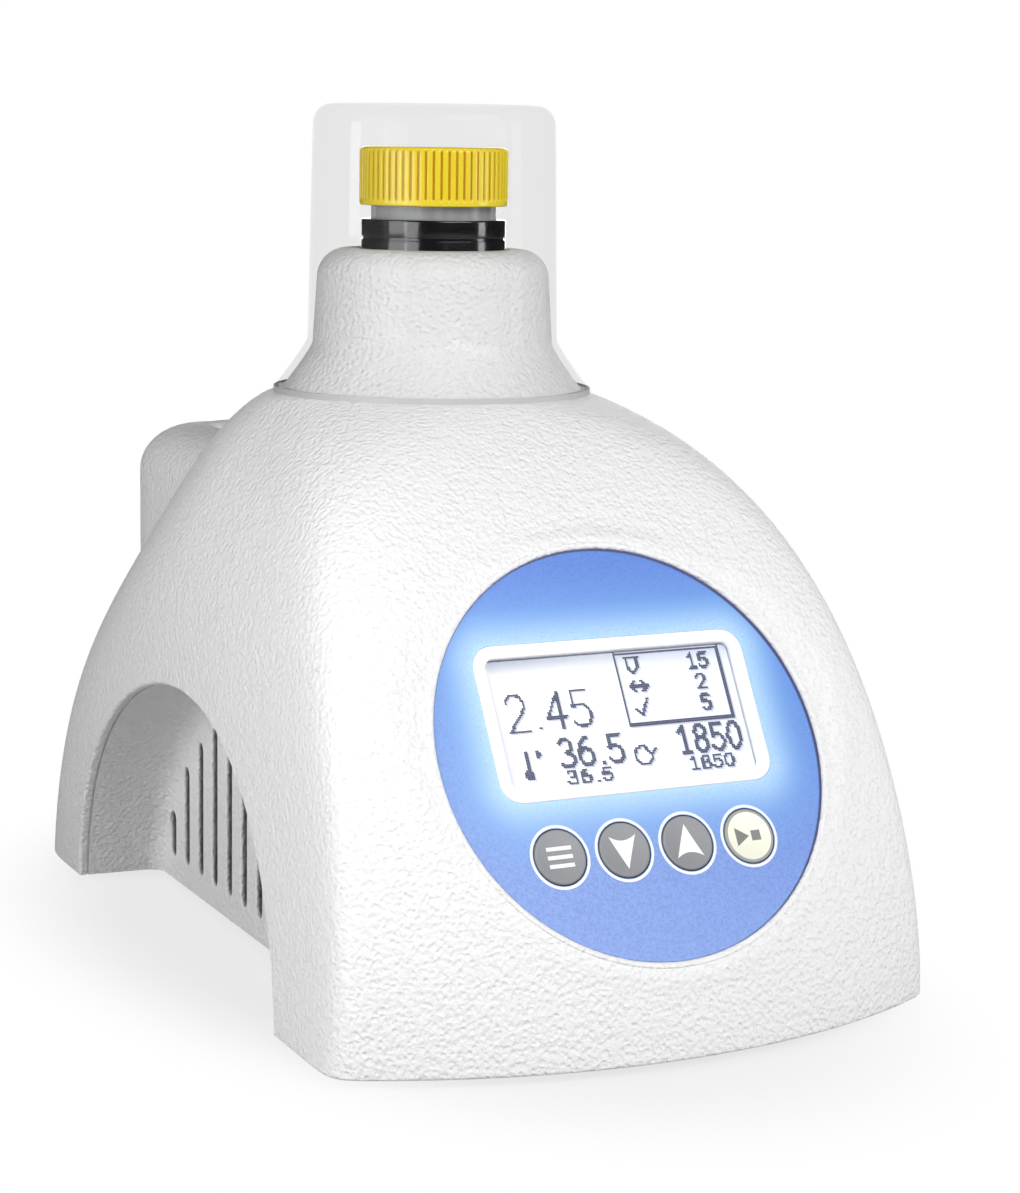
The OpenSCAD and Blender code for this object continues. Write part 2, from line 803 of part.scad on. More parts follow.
// A conical-bottomed tube with a thread band at its mouth
module tube() {
    thread_r = tube_r + 0.9;
    color("whitesmoke", 0.5) on_axis() translate([0, 0, tube_bottom]) rotate_extrude()
        difference() {
            union() {
                polygon([[0, 0], [cone_tip_r, 0], [tube_r, cone_h], [tube_r, tube_len],
                         [0, tube_len]]);
                translate([0, tube_len - 9]) square([thread_r, 6]);
            }
            polygon([[0, tube_wall], [cone_tip_r - 0.6, tube_wall], [tube_r - tube_wall, cone_h],
                     [tube_r - tube_wall, tube_len + 1], [0, tube_len + 1]]);
        }
}

cap_z = collar_top + 3.5;
cap_roof = 1.4;
filter_t = 0.6;
cap_bore_r = tube_r + 1.25;
rib_depth = 0.45;
VENT_RING = 7;

// Outline of the ribbed skirt: four points for each rib, two on its crest and two in the groove
RIB_OUTLINE = [
    for (i = [0:cap_ribs - 1], k = [0:3])
        let (
            a = (i + [-0.3, -0.2, 0.2, 0.3][k]) * 360 / cap_ribs,
            r = cap_r - (k == 1 || k == 2 ? 0.05 : rib_depth)
        )
        [r * cos(a), r * sin(a)]
];

// The cap: a ribbed skirt over the tube's mouth, with a plain band below and vents in its roof
module tube_cap() {
    color("gold") on_axis() translate([0, 0, cap_z]) difference() {
        union() {
            cylinder(r = cap_r, h = 1.6);
            translate([0, 0, 1]) linear_extrude(height = cap_h - 2) polygon(RIB_OUTLINE);
            translate([0, 0, cap_h - 1.5])
                cylinder(r1 = cap_r - rib_depth - 0.1, r2 = cap_r - 1.8, h = 1.5);
        }
        translate([0, 0, -1]) cylinder(r = cap_bore_r, h = cap_h - cap_roof + 1);
        for (i = [0:5]) rotate([0, 0, i * 60]) translate([VENT_RING, 0, 0])
            cylinder(r = 1.5, h = cap_h + 1);
    }
}

module vent_filter() {
    top = cap_z + cap_h - cap_roof - 0.05;
    color("white") on_axis() translate([0, 0, top - filter_t])
        cylinder(r = tube_r + 0.6, h = filter_t);
}

/* ---- heated block, light sensor and cooling ---- */

block_top = neck_top - neck_roof - 5;
block_bore_r = collar_r + spin_gap;
sleeve_top = seam_z - wall - 4;
tec_size = 30;
tec_t = 3.8;
pad_y = block_r + 3.6;
pad_half = 16;
sink_size = 46;
sink_base = 5;
sink_fin = 23;
sink_z = 90;
fin_pitch = 6.4;
fin_t = 1.4;

module heat_block() {
    color("silver") on_axis() difference() {
        union() {
            translate([0, 0, chassis_top]) cylinder(r = block_r, h = block_top - chassis_top);
            translate([-pad_half, block_bore_r, sink_z - pad_half])
                cube([2 * pad_half, pad_y - block_bore_r, 2 * pad_half]);
        }
        translate([0, 0, chassis_top - 1]) cylinder(r = block_bore_r, h = block_top);
        translate([-40, 0, sensor_z]) rotate([0, 90, 0]) cylinder(r = 2.6, h = 80);
        translate([0, -block_bore_r - 2.8, block_top - 20]) cylinder(r = 1.55, h = 21);
        for (a = [45:90:315]) rotate([0, 0, a]) translate([post_at * sqrt(2), 0, chassis_top - 1])
            cylinder(r = 5, h = 6);
    }
}

module insulation_sleeve() {
    color("darkgray") on_axis() translate([0, 0, chassis_top + 3]) difference() {
        ring(block_r + 4.6, block_r + 0.1, sleeve_top - chassis_top - 3);
        translate([-pad_half - 0.2, 5, sink_z - pad_half - 0.2 - chassis_top - 3])
            cube([2 * pad_half + 0.4, 40, 2 * pad_half + 0.4]);
        translate([-40, 0, sensor_z - chassis_top - 3]) rotate([0, 90, 0]) cylinder(r = 2.7, h = 80);
    }
}

module temperature_sensor() {
    color("silver") on_axis() translate([0, -block_bore_r - 2.8, block_top - 19.9])
        cylinder(r = 1.5, h = 20.4);
}

module light_part(r_lens) {
    union() {
        rotate([0, 90, 0]) cylinder(r = r_lens, h = 9);
        translate([8.9, -3.5, -3.5]) cube([2, 7, 7]);
    }
}

module light_emitter() {
    color("red") on_axis() translate([block_r - 4, 0, sensor_z]) light_part(2.5);
}

module light_detector() {
    color("black") on_axis() mirror([1, 0, 0]) translate([block_r - 4, 0, sensor_z]) light_part(2.5);
}

module thermoelectric_module() {
    color("white") on_axis() translate([-tec_size / 2, pad_y, sink_z - tec_size / 2])
        cube([tec_size, tec_t, tec_size]);
}

module heat_sink() {
    half = sink_size / 2;
    color("silver") on_axis() translate([0, pad_y + tec_t, sink_z]) union() {
        translate([-half, 0, -half]) cube([sink_size, sink_base, sink_size]);
        for (i = [-3:3]) translate([i * fin_pitch - fin_t / 2, sink_base - eps, -half])
            cube([fin_t, sink_fin, sink_size]);
    }
}

fan_y = rear_in_y - fan_t - 0.2;

module at_fan_holes() {
    for (x = [-fan_hole, fan_hole], z = [-fan_hole, fan_hole]) translate([x, z, 0]) children();
}

// Local frame of the fan: +Z runs to the back, through the grille
module on_fan() {
    on_axis() translate([0, fan_y, fan_z]) rotate([-90, 0, 0]) children();
}

module fan_frame() {
    color("black") on_fan() union() {
        difference() {
            rounded_block(fan_size, fan_size, 3, fan_t);
            translate([0, 0, -1]) cylinder(r = fan_bore_r, h = fan_t + 2);
            at_fan_holes() translate([0, 0, -1]) cylinder(r = 1.7, h = fan_t + 2);
        }
        difference() {
            union() {
                cylinder(r = 8, h = 1.2);
                for (a = [0:90:270]) rotate([0, 0, a + 20]) translate([0, -1, 0])
                    cube([fan_bore_r + 0.6, 2, 1.2]);
                cylinder(r = 2.4, h = 5);
            }
            translate([0, 0, 2]) cylinder(r = 1 + run_gap, h = 6);
        }
    }
}

module fan_screws() {
    color("silver") on_fan() at_fan_holes() rotate([180, 0, 0])
        screw(1.6, fan_t + 0.05, 2.9, 1.8);
}

module fan_impeller() {
    color("dimgray") on_fan() union() {
        translate([0, 0, 2.2]) cylinder(r = 1, h = 6);
        difference() {
            translate([0, 0, 1.8]) cylinder(r = 8, h = 7.4);
            translate([0, 0, 1.7]) cylinder(r = 6.8, h = 6);
        }
        for (a = [0:51.43:359]) rotate([0, 0, a]) translate([7.6, 0, 5.6]) rotate([38, 0, 0])
            translate([0, -0.5, -3]) cube([10.2, 1, 6]);
    }
}

/* ---- rear fittings ---- */

module power_inlet() {
    color("black") on_axis() translate([inlet_x, rear_in_y, inlet_z]) rotate([-90, 0, 0])
        difference() {
            union() {
                translate([0, 0, -11]) cylinder(r = inlet_r, h = 11 + wall + 0.1);
                translate([0, 0, wall]) cylinder(r = inlet_r + 1.6, h = 1.4);
            }
            translate([0, 0, -7]) difference() {
                cylinder(r = 2.8, h = 20);
                translate([0, 0, -1]) cylinder(r = 1, h = 9);
            }
        }
}

module inlet_nut() {
    color("silver") on_axis() translate([inlet_x, rear_in_y - 2.6, inlet_z]) rotate([-90, 0, 0])
        difference() {
            rotate([0, 0, 30]) cylinder(r = inlet_r + 2, h = 2.5, $fn = 6);
            translate([0, 0, -1]) cylinder(r = inlet_r + run_gap, h = 5);
        }
}

module data_port() {
    color("silver") on_axis() translate([port_x, rear_in_y - 13, port_z]) rotate([-90, 0, 0])
        union() {
            difference() {
                rounded_block(port_w, port_h, 0.8, 13 + wall + 0.3);
                translate([0, 0, 5]) rounded_block(8.6, 7.9, 0.5, 20);
            }
            translate([0, 0, 4.9]) rounded_block(5.6, 3.2, 0.3, 8.5);
        }
}

rocker_r = 7.5;
rocker_half_w = 4.9;
rocker_tilt = 9;

module switch_frame() {
    color("black") on_axis() translate([switch_x, rear_in_y, switch_z]) rotate([-90, 0, 0])
        difference() {
            union() {
                translate([0, 0, -14]) rounded_block(switch_w, switch_h, 0.5, 14 + wall + 0.1);
                translate([0, 0, wall]) rounded_block(switch_w + 2.4, switch_h + 2.4, 1.5, 1.5);
            }
            translate([0, 0, -4]) rounded_block(2 * rocker_half_w + 0.6, 2 * rocker_r + 0.8, 0.3, 20);
            translate([-switch_w / 2 - 1, 0, wall - 1]) rotate([0, 90, 0])
                cylinder(r = 1 + run_gap, h = switch_w + 2);
        }
}

// The rocker turns on its own pin; at rest its lower half stands proud
module power_rocker() {
    color("black") on_axis() translate([switch_x, rear_in_y + wall - 1, switch_z])
        rotate([-rocker_tilt, 0, 0]) rotate([-90, 0, 0]) union() {
            translate([-rocker_half_w, 0, 0]) rotate([0, 90, 0]) linear_extrude(height = 2 * rocker_half_w)
                polygon([[2.6, 0], [0.5, rocker_r - 0.4], [-3.4, rocker_r - 0.4], [-2.5, 0],
                         [-3.4, -rocker_r + 0.4], [0.5, -rocker_r + 0.4]]);
            translate([-switch_w / 2 + 0.2, 0, 0]) rotate([0, 90, 0])
                cylinder(r = 1, h = switch_w - 0.4);
        }
}

housing();
base_plate();
rubber_feet();
base_screws();
lid_gasket();
clear_lid();
front_overlay();
display_bezel();
display_window();
display_module();
display_board();
board_screws();
key_switches();
key_menu();
key_down();
key_up();
key_start();
control_board();
control_screws();
chassis_plate();
chassis_posts();
chassis_screws();
motor_can();
motor_end_cap();
motor_rotor();
motor_shaft();
shaft_bearing();
tube_holder();
tube();
vent_filter();
tube_cap();
heat_block();
insulation_sleeve();
temperature_sensor();
light_emitter();
light_detector();
thermoelectric_module();
heat_sink();
fan_frame();
fan_screws();
fan_impeller();
power_inlet();
inlet_nut();
data_port();
switch_frame();
power_rocker();
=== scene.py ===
"""Bench bioreactor: the finished surfaces of every visible piece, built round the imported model.

All lengths inside the shape functions are millimetres in the row frame: +Z up, the front towards
-Y, the origin under the middle of the footprint. They turn into metres only when a mesh is made.
"""

import math

import bpy
import numpy as np
from bpy.props import FloatProperty, FloatVectorProperty, IntProperty, PointerProperty
from mathutils import Matrix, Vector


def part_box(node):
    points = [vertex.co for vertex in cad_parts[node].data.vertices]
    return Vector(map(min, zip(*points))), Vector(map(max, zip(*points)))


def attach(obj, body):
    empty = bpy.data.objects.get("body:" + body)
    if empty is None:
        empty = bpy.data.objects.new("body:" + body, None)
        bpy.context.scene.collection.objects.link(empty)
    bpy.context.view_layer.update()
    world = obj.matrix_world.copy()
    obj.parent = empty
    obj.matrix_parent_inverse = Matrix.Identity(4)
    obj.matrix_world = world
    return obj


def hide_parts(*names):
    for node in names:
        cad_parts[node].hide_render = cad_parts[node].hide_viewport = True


bl_info = {
    "name": "Bench bioreactor",
    "version": (1, 0, 0),
    "blender": (4, 5, 0),
    "location": "View3D > Sidebar > Bioreactor",
    "description": "Moulded housing, clear lid, capped tube, front panel and rear fittings of a "
    "bench bioreactor",
    "category": "Object",
}

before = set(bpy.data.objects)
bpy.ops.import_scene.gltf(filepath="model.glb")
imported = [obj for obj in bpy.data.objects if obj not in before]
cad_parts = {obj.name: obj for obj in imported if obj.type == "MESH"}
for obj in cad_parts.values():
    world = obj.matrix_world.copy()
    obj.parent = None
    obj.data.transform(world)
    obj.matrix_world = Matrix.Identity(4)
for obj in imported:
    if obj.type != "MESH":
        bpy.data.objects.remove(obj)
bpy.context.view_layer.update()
MM = 0.001


# ---- places that the frame gives -----------------------------------------------------------------

# How far the ribbed cap stands proud of its solid, and reaches below it
CAP_PROUD, CAP_BELOW = 0.5, 0.3


def box_mm(node):
    """Lowest and highest corner of a CAD node, in millimetres."""
    low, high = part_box(node)
    return np.array(low) / MM, np.array(high) / MM


SEAT_LOW, SEAT_HIGH = box_mm("lid_gasket")
LID_HIGH = box_mm("clear_lid")[1]
CAP_LOW, CAP_HIGH = box_mm("tube_cap")
TUBE_LOW, TUBE_HIGH = box_mm("tube")
HOLDER_LOW, HOLDER_HIGH = box_mm("tube_holder")

NECK_Y = (SEAT_LOW[1] + SEAT_HIGH[1]) / 2
SEAM_Z = SEAT_LOW[2]
LID_BASE_Z = SEAT_HIGH[2]
LID_TOP_Z = LID_HIGH[2]
SEAM_R = LID_HIGH[0]
CAP_R = CAP_HIGH[0] + CAP_PROUD
CAP_TOP_Z = CAP_HIGH[2] + CAP_PROUD
CAP_RIM_Z = CAP_LOW[2] - CAP_BELOW
TUBE_RIM_Z = TUBE_HIGH[2]
TUBE_BOTTOM_Z = TUBE_LOW[2]
COLLAR_R = HOLDER_HIGH[0]
COLLAR_TOP_Z = HOLDER_HIGH[2]

# ---- sizes that the frame doesn't give -----------------------------------------------------------

# Endings of names: _R a radius, _W a width, _H a height, _Z a level, _OUT a level out of the panel,
# _HALF half sizes, _AT a place as (x, z).

# Everywhere: wall, play between pieces that move on each other, and how far a cutter passes a wall
WALL = 2.8
PLAY = 0.3
CUT_PAST = 2.0

# The housing: exponents of its fullness from foot to seam, how sharp its corners are in plan, how
# fast the front rounds and the back softens upwards, and where the hump joins the dome
FOOT_Z = 2.0
SIDE_FULL = (5.0, 1.16)
FRONT_FULL = (1.66, 1.28)
BACK_FULL = (1.25, 1.8)
FRONT_SHARP = 45.0
BACK_SHARP = 22.0
FRONT_ROUNDS = 0.65
BACK_SOFTENS = 3
HUMP_SHARP = 14.0
HUMP_JOIN_R = 60.0
HUMP_JOIN_RISE = 4.5
HUMP_BLEND = 7.0

# Its grids as (columns, levels), their samples, and where they crowd: columns as (centre, half
# width, strength) in degrees, levels at the hump's edge; rows so near the foot's arc are left out
SKIN_GRID = (352, 146)
CAVITY_GRID = (240, 60)
GRID_SAMPLES = (4001, 6001)
FOOT_CLEAR = 1.3
CROWDED_COLUMNS = (
    (-54, 9, 3.2), (234, 9, 3.2), (60, 8, 1.5), (120, 8, 1.5), (71.5, 5, 3), (108.5, 5, 3),
)
CROWDED_HALF, CROWDED_BY = 9.0, 2.2

# Arches, each a pocket turned about an axis out of the side, with a groove inside its mouth. The
# mouth's arc stops short of the skin by MOUTH_SHORT; it is searched for over MOUTH_RANGE
ARCH_R = 77.5
ARCH_Z = -11.9
ARCH_DEPTH = 22.2
ARCH_FILLET = 4.5
ARCH_LEAN = 4.5
ARCH_POINTS, POCKET_POINTS = 300, 160
MOUTH_RANGE, HALVINGS = 60.0, 30
MOUTH_SHORT = math.radians(34)
GROOVE = 0.7
GROOVE_IN = 1.9
POCKET_END = 90.0

# Slots in the arches' walls, under an ellipse of half sizes VENT_TOPS, and in the fan's grille
VENT_COUNT = 12
VENT_PITCH = 11.3
VENT_W = 4.2
VENT_TOPS = (71.1, 65.0)
VENT_MID = 3.0
VENT_BOTTOM = 7.9
VENT_EDGE = 0.6
GRILLE_R = 17.0
GRILLE_PITCH = 4.6
GRILLE_W = 2.4
GRILLE_EDGE = 0.45
SLOT_FLARE = 84.0

# The lid and the neck under it
LID_WALL = 0.9
LID_R = 28.9
LID_FLARE_H = 11.5
LID_FLARE = 1.15
LID_WAIST_R = LID_R + 1.1
LID_ROUND = 4.5
LID_EDGE = 0.25
LID_POINTS = 256
NECK_TOP = 168.0
NECK_R = 27.8
NECK_BORE_R = 17.9
NECK_HOLLOW_R = 24.0
NECK_HOLLOW_DEEP = 12.0
NECK_ROOF = 2.6
NECK_EDGE = 0.8
SHOULDER = 7.0

# The panel: a disc that leans back, with a lip round it that fades into the housing
PANEL_R = 47.0
PANEL_LEAN = math.radians(29.1)
PANEL_Y = 98.1
PANEL_Z = 63.7
PANEL_BEHIND = -20.0
PANEL_POINTS = 300
LIP_W = 1.5
LIP_UP = 0.6
LIP_EDGE = 0.35
LIP_INNER_EDGE = 0.75
LIP_FADE = (5.0, 19.0)
OVERLAY_T = 0.8
PANEL_FLOOR_OUT = -3.4
DISPLAY_UP = 8.4
BEZEL_HALF = (33.8, 17.7)
BEZEL_CORNER = 5.0
WINDOW_HALF = (30.9, 14.8)
WINDOW_CORNER = 2.2
GLASS_OUT = -1.25

# Keys, with heights out of the panel
KEY_PITCH = 15.7
KEY_MIDDLE = 1.5
KEY_DOWN = 21.7
KEY_R = 6.1
KEY_UP = 0.25
KEY_RING_R = 6.78
FLANGE_TOP_OUT = -3.7
SWITCH_TOP_OUT = -7.1
KEY_TRAVEL = 0.4

# Tube, cap and holder
TUBE_R = 15.0
TUBE_WALL = 1.2
THREAD_PITCH = 3.0
THREAD_DEPTH = 0.85
CAP_BORE_R = 16.25
CAP_ROOF = 1.4
CAP_VENT_RING = 7.0
CAP_VENT_R = 1.5
LIGHT_SLOT_Z = 96.1
LIGHT_SLOT_HALF = (2.5, 5.0)

# Stands under the panel, and bosses over the base's screws at the front and the back
STAND_R = 2.6
STAND_LOW_OUT = -11.0
STANDS = ((-38.4, 24), (-38.4, -26), (38.4, 24), (38.4, -26))
BOSS_R = 4.0
BOSS_Z = (5.2, 26.0)
BOSS_INSET = 3.4
BOSS_X = (34.0, 30.0)

# Fittings in the back, as (x, z) and (width, height)
REAR_Y = 110.0
FAN_Z = 83.0
SWITCH_AT = (-12.0, 46.0)
SWITCH_SIZE = (13.0, 19.0)
INLET_AT = (12.0, 54.0)
INLET_R = 5.4
PORT_AT = (12.0, 38.0)
PORT_SIZE = (12.0, 11.0)
FITTING_PLAY = 0.1
ROCKER_TILT = math.radians(9)
ROCKER_IN = 1.0


def srgb(red, green, blue):
    """Linear colour of a shade given as 0-255 screen values."""
    parts = np.array([red, green, blue]) / 255
    linear = np.where(parts < 0.04045, parts / 12.92, ((parts + 0.055) / 1.055) ** 2.4)
    return tuple(linear.tolist())


# ---- sizes and colours a user may change ---------------------------------------------------------


def length(name, description, default_mm):
    """A size that is given in millimetres and kept in metres."""
    return FloatProperty(
        name=name, description=description, default=default_mm * MM, unit="LENGTH", precision=5
    )


def colour(name, description, default):
    """A linear colour."""
    return FloatVectorProperty(
        name=name, description=description, default=default, subtype="COLOR", size=3, min=0, max=1
    )


class HousingSettings(bpy.types.PropertyGroup):
    """Sizes and colour of the housing"""

    side_reach: length("Side reach", "Distance from the tube's axis to each side, at the foot", 67)
    front_reach: length(
        "Front reach", "Distance from the tube's axis to the front, at the foot", 125
    )
    back_reach: length("Back reach", "Distance from the tube's axis to the back, at the foot", 115)
    front_curve: length("Front curve", "Radius of the front's curve, seen from above", 153)
    side_taper: FloatProperty(
        name="Side taper", description="Taper of each side towards the back",
        default=math.radians(4.4), unit="ROTATION",
    )
    hump_reach: length("Hump reach", "Distance from the tube's axis to the hump's back", 110)
    hump_half: length("Hump half width", "Half width of the hump", 36)
    hump_top: length("Hump top", "Height of the hump's rear edge", 118.5)
    hump_round: length("Hump rounding", "Radius of the hump's upper edges", 13)
    edge_round: length("Edge rounding", "Radius of the edges of the arches and the foot", 0.8)
    grain_depth: length("Grain depth", "Depth of the leather-like grain", 0.42)
    white: colour("White", "Colour of the housing", srgb(243, 243, 243))


class LidSettings(bpy.types.PropertyGroup):
    """Looks of the lid and its ring"""

    veil: FloatProperty(
        name="Veil", description="Share of the light that the lid's wall takes away",
        default=0.095, min=0, max=0.5,
    )
    gasket: colour("Ring", "Colour of the ring under the lid", srgb(186, 186, 187))


class TubeSettings(bpy.types.PropertyGroup):
    """Grip of the cap, and colours of the cap and the holder"""

    ribs: IntProperty(
        name="Cap ribs", description="Number of grip ribs on the cap", default=60, min=24, max=72
    )
    rib_depth: length("Rib depth", "Depth of the grooves between the ribs", 0.45)
    cap: colour("Cap", "Colour of the cap", srgb(255, 228, 52))
    holder: colour("Holder", "Colour of the tube's holder", srgb(9, 9, 10))


class PanelSettings(bpy.types.PropertyGroup):
    """Colours of the panel, its display and its keys"""

    top_blue: colour("Upper blue", "Colour of the overlay at its top", srgb(78, 128, 217))
    low_blue: colour("Lower blue", "Colour of the overlay at its bottom", srgb(128, 161, 229))
    azure: colour("Azure", "Colour of the overlay towards the display", srgb(122, 186, 246))
    glow: colour("Glow", "Colour of the overlay beside the display", srgb(196, 232, 255))
    key_grey: colour("Grey key", "Colour of the grey keys", srgb(134, 136, 140))
    key_cream: colour("Cream key", "Colour of the start key", srgb(246, 246, 226))
    display_ground: colour("Display ground", "Colour of the lit display", srgb(226, 233, 252))
    display_ink: colour("Display ink", "Colour of the display's dark dots", srgb(52, 62, 96))


# ---- small maths ---------------------------------------------------------------------------------


def lerp(a, b, t):
    """a where t is 0, b where t is 1."""
    return a + (b - a) * t


def smooth(low, high, x):
    """0 below low, 1 above high, and 3t^2 - 2t^3 between them."""
    t = np.clip((x - low) / (high - low), 0, 1)
    return t * t * (3 - 2 * t)


def full(t, exponents):
    """Fullness of a dome's profile: (1 - t^a)^(1/b)."""
    return np.maximum(0, 1 - t ** exponents[0]) ** (1 / exponents[1])


def soft_max(a, b, width):
    """The larger of two values, rounded over where they differ by less than width."""
    near = np.maximum(width - np.abs(a - b), 0) / width
    return np.maximum(a, b) + near**2 * width / 4


def spaced(values, steps, count):
    """count of rising values, so far apart that the steps between them add up evenly."""
    run = np.concatenate([[0], np.cumsum(steps)])
    return np.interp(np.linspace(0, run[-1], count), run, values)


def arc(centre, radius, start, end, count):
    """Points on a circle from angle start to angle end, in degrees."""
    a = np.radians(np.linspace(start, end, count))
    return np.stack([centre[0] + radius * np.cos(a), centre[1] + radius * np.sin(a)], 1)


def rounded_outline(half_w, half_h, radius, corner_steps=8):
    """A rectangle with round corners, counter-clockwise, with as many points for any size."""
    corners = [(1, 1, 0), (-1, 1, 90), (-1, -1, 180), (1, -1, 270)]
    x, y = half_w - radius, half_h - radius
    return np.concatenate([
        arc((sx * x, sy * y), radius, start, start + 90, corner_steps) for sx, sy, start in corners
    ])


def edge_turn(radius, count, end=90.0):
    """How far a round edge draws in, and how far it rises, at count angles from 0 to end."""
    turns = np.radians(np.linspace(0, end, count))
    return [(radius * (1 - math.cos(turn)), radius * math.sin(turn)) for turn in turns]


def ring_points(r, z, a):
    """Rows of points round Z: x = r cos a, y = r sin a, with r and z given by row or by point."""
    return np.stack(np.broadcast_arrays(r * np.cos(a), r * np.sin(a), z), -1)


# ---- local frames --------------------------------------------------------------------------------


def on_axis(points):
    """Moves points made about the tube's axis to their place."""
    return points + np.array([0, NECK_Y, 0])


def off_axis(x, y):
    """A placing function for upright shapes made about a line beside the tube's axis."""
    return lambda points: on_axis(points + np.array([x, y, 0]))


PANEL_AT = np.array([0, NECK_Y - PANEL_Y, PANEL_Z])
PANEL_X = np.array([1.0, 0, 0])
PANEL_UP = np.array([0, math.sin(PANEL_LEAN), math.cos(PANEL_LEAN)])
PANEL_OUT = np.array([0, -math.cos(PANEL_LEAN), math.sin(PANEL_LEAN)])


def on_panel(points):
    """From the panel's frame (right, up, out) to the row frame."""
    right, up, out = points[..., :1], points[..., 1:2], points[..., 2:]
    return PANEL_AT + right * PANEL_X + up * PANEL_UP + out * PANEL_OUT


def to_panel(points):
    """From the row frame to the panel's frame."""
    off = points - PANEL_AT
    return np.stack([off @ PANEL_X, off @ PANEL_UP, off @ PANEL_OUT], -1)


def at_panel(at):
    """A placing function for shapes made about a point on the panel."""
    return lambda points: on_panel(points + np.array([at[0], at[1], 0]))


def at_rear(at):
    """A placing function for shapes made about a point on the hump's back: +X, up, outwards."""

    def place(points):
        x, z, out = points[..., 0], points[..., 1], points[..., 2]
        return np.stack([x + at[0], NECK_Y + REAR_Y + out, z + at[1]], -1)

    return place


def on_arch(points, side, taper):
    """From an arch's frame (out of the side, front to back, up) to the row frame; side is +-1."""
    x = points[..., 0] * math.cos(taper) - points[..., 1] * math.sin(taper)
    y = points[..., 0] * math.sin(taper) + points[..., 1] * math.cos(taper)
    return on_axis(np.stack([side * x, y, points[..., 2] + ARCH_Z], -1))


# ---- the housing's form --------------------------------------------------------------------------


class HousingForm:
    """Reach of the housing from the tube's axis, as a function of direction and height."""

    def __init__(self, settings):
        self.side = settings.side_reach / MM
        self.wall_at = self.side - ARCH_DEPTH
        self.front = settings.front_reach / MM
        self.back = settings.back_reach / MM
        self.curve = settings.front_curve / MM
        self.taper = settings.side_taper
        self.hump_reach = settings.hump_reach / MM
        self.hump_half = settings.hump_half / MM
        self.hump_top = settings.hump_top / MM
        self.hump_round = settings.hump_round / MM

    def dome(self, a, t, inset=0.0):
        """The sides, the curved front and the back, joined by a power mean of the reaches.

        t is 0 at the foot and 1 at the seam, where the mean is a circle.
        """
        r0 = SEAM_R - inset
        side = r0 + (self.side - SEAM_R) * full(t, SIDE_FULL)
        front = r0 + (self.front - SEAM_R) * full(t, FRONT_FULL)
        back = r0 + (self.back - SEAM_R) * full(t, BACK_FULL)
        taper = self.taper * (1 - t)
        s, c = np.sin(a), np.abs(np.cos(a))
        across = np.maximum(1e-4, (c * np.cos(taper) + s * np.sin(taper)) / side)
        curve = (self.curve - inset) / np.maximum(1e-3, 1 - t) ** FRONT_ROUNDS
        centre = front - curve
        ahead = -s * centre + np.sqrt((s * centre) ** 2 - centre**2 + curve**2)
        n_front = lerp(2, FRONT_SHARP, 1 - t)
        n_back = lerp(2, BACK_SHARP, (1 - t) ** BACK_SOFTENS)
        forward = (across**n_front + (1 / ahead) ** n_front) ** (-1 / n_front)
        rear = (across**n_back + (np.maximum(s, 0) / back) ** n_back) ** (-1 / n_back)
        return np.where(s < 0, forward, rear)

    def hump(self, a, z, inset=0.0):
        """A rounded rectangle with a round upper edge, whose top slopes up into the dome."""
        up = np.clip(z - self.hump_top + self.hump_round, 0, self.hump_round)
        draw = self.hump_round - np.sqrt(self.hump_round**2 - up**2)
        half = self.hump_half - draw - inset
        edge = self.hump_reach - draw - inset
        rise = np.clip((z - self.hump_top) / HUMP_JOIN_RISE, 0, 1)
        far = lerp(edge, HUMP_JOIN_R - inset, rise)
        across = np.abs(np.cos(a)) / half
        along = np.maximum(np.sin(a), 1e-4) / far
        reach = (across**HUMP_SHARP + along**HUMP_SHARP) ** (-1 / HUMP_SHARP)
        return np.where((np.sin(a) > 0) & (z < self.hump_top + HUMP_JOIN_RISE), reach, 0)

    def reach(self, a, z, inset=0.0):
        """The larger of the dome's and the hump's reach, rounded where they meet."""
        t = np.clip((z - FOOT_Z) / (SEAM_Z - FOOT_Z), 0, 1)
        return soft_max(self.dome(a, t, inset), self.hump(a, z, inset), HUMP_BLEND)

    def depth(self, points):
        """How far points in the row frame lie outside the form, measured from the tube's axis."""
        x, y, z = points[..., 0], points[..., 1] - NECK_Y, np.maximum(points[..., 2], FOOT_Z)
        return np.hypot(x, y) - self.reach(np.arctan2(y, x), z)

    def levels(self, count):
        """Heights even along the front's and the side's profile, crowded at the hump's edge."""
        z = np.linspace(FOOT_Z, SEAM_Z, GRID_SAMPLES[1])
        t = (z - FOOT_Z) / (SEAM_Z - FOOT_Z)
        front = self.dome(np.full_like(z, -math.pi / 2), t)
        side = self.dome(np.zeros_like(z), t)
        rise = np.diff(z)
        step = np.hypot(rise, np.diff(front)) + np.hypot(rise, np.diff(side))
        middle = (z[1:] + z[:-1]) / 2
        step *= 1 + CROWDED_BY * np.exp(-(((middle - self.hump_top) / CROWDED_HALF) ** 2))
        return spaced(z, step, count)


def columns(count):
    """Directions once round the axis from the front, crowded at the plan's corners."""
    fine = np.linspace(-90, 270, GRID_SAMPLES[0])
    weight = np.ones_like(fine)
    for centre, half, strength in CROWDED_COLUMNS:
        weight += strength * np.exp(-(((fine - centre) / half) ** 2))
    return np.radians(spaced(fine, (weight[1:] + weight[:-1]) / 2, count + 1)[:-1])


def lid_outer(z):
    """Radius of the lid's outside: nearly straight, then flaring to the seam."""
    waist = LID_BASE_Z + LID_FLARE_H
    up = LID_WAIST_R + (LID_R - LID_WAIST_R) * (z - waist) / (LID_TOP_Z - waist)
    flare = (np.maximum(waist - z, 0) / LID_FLARE_H) ** LID_FLARE
    return np.where(z > waist, up, LID_WAIST_R + (SEAM_R - LID_WAIST_R) * flare)


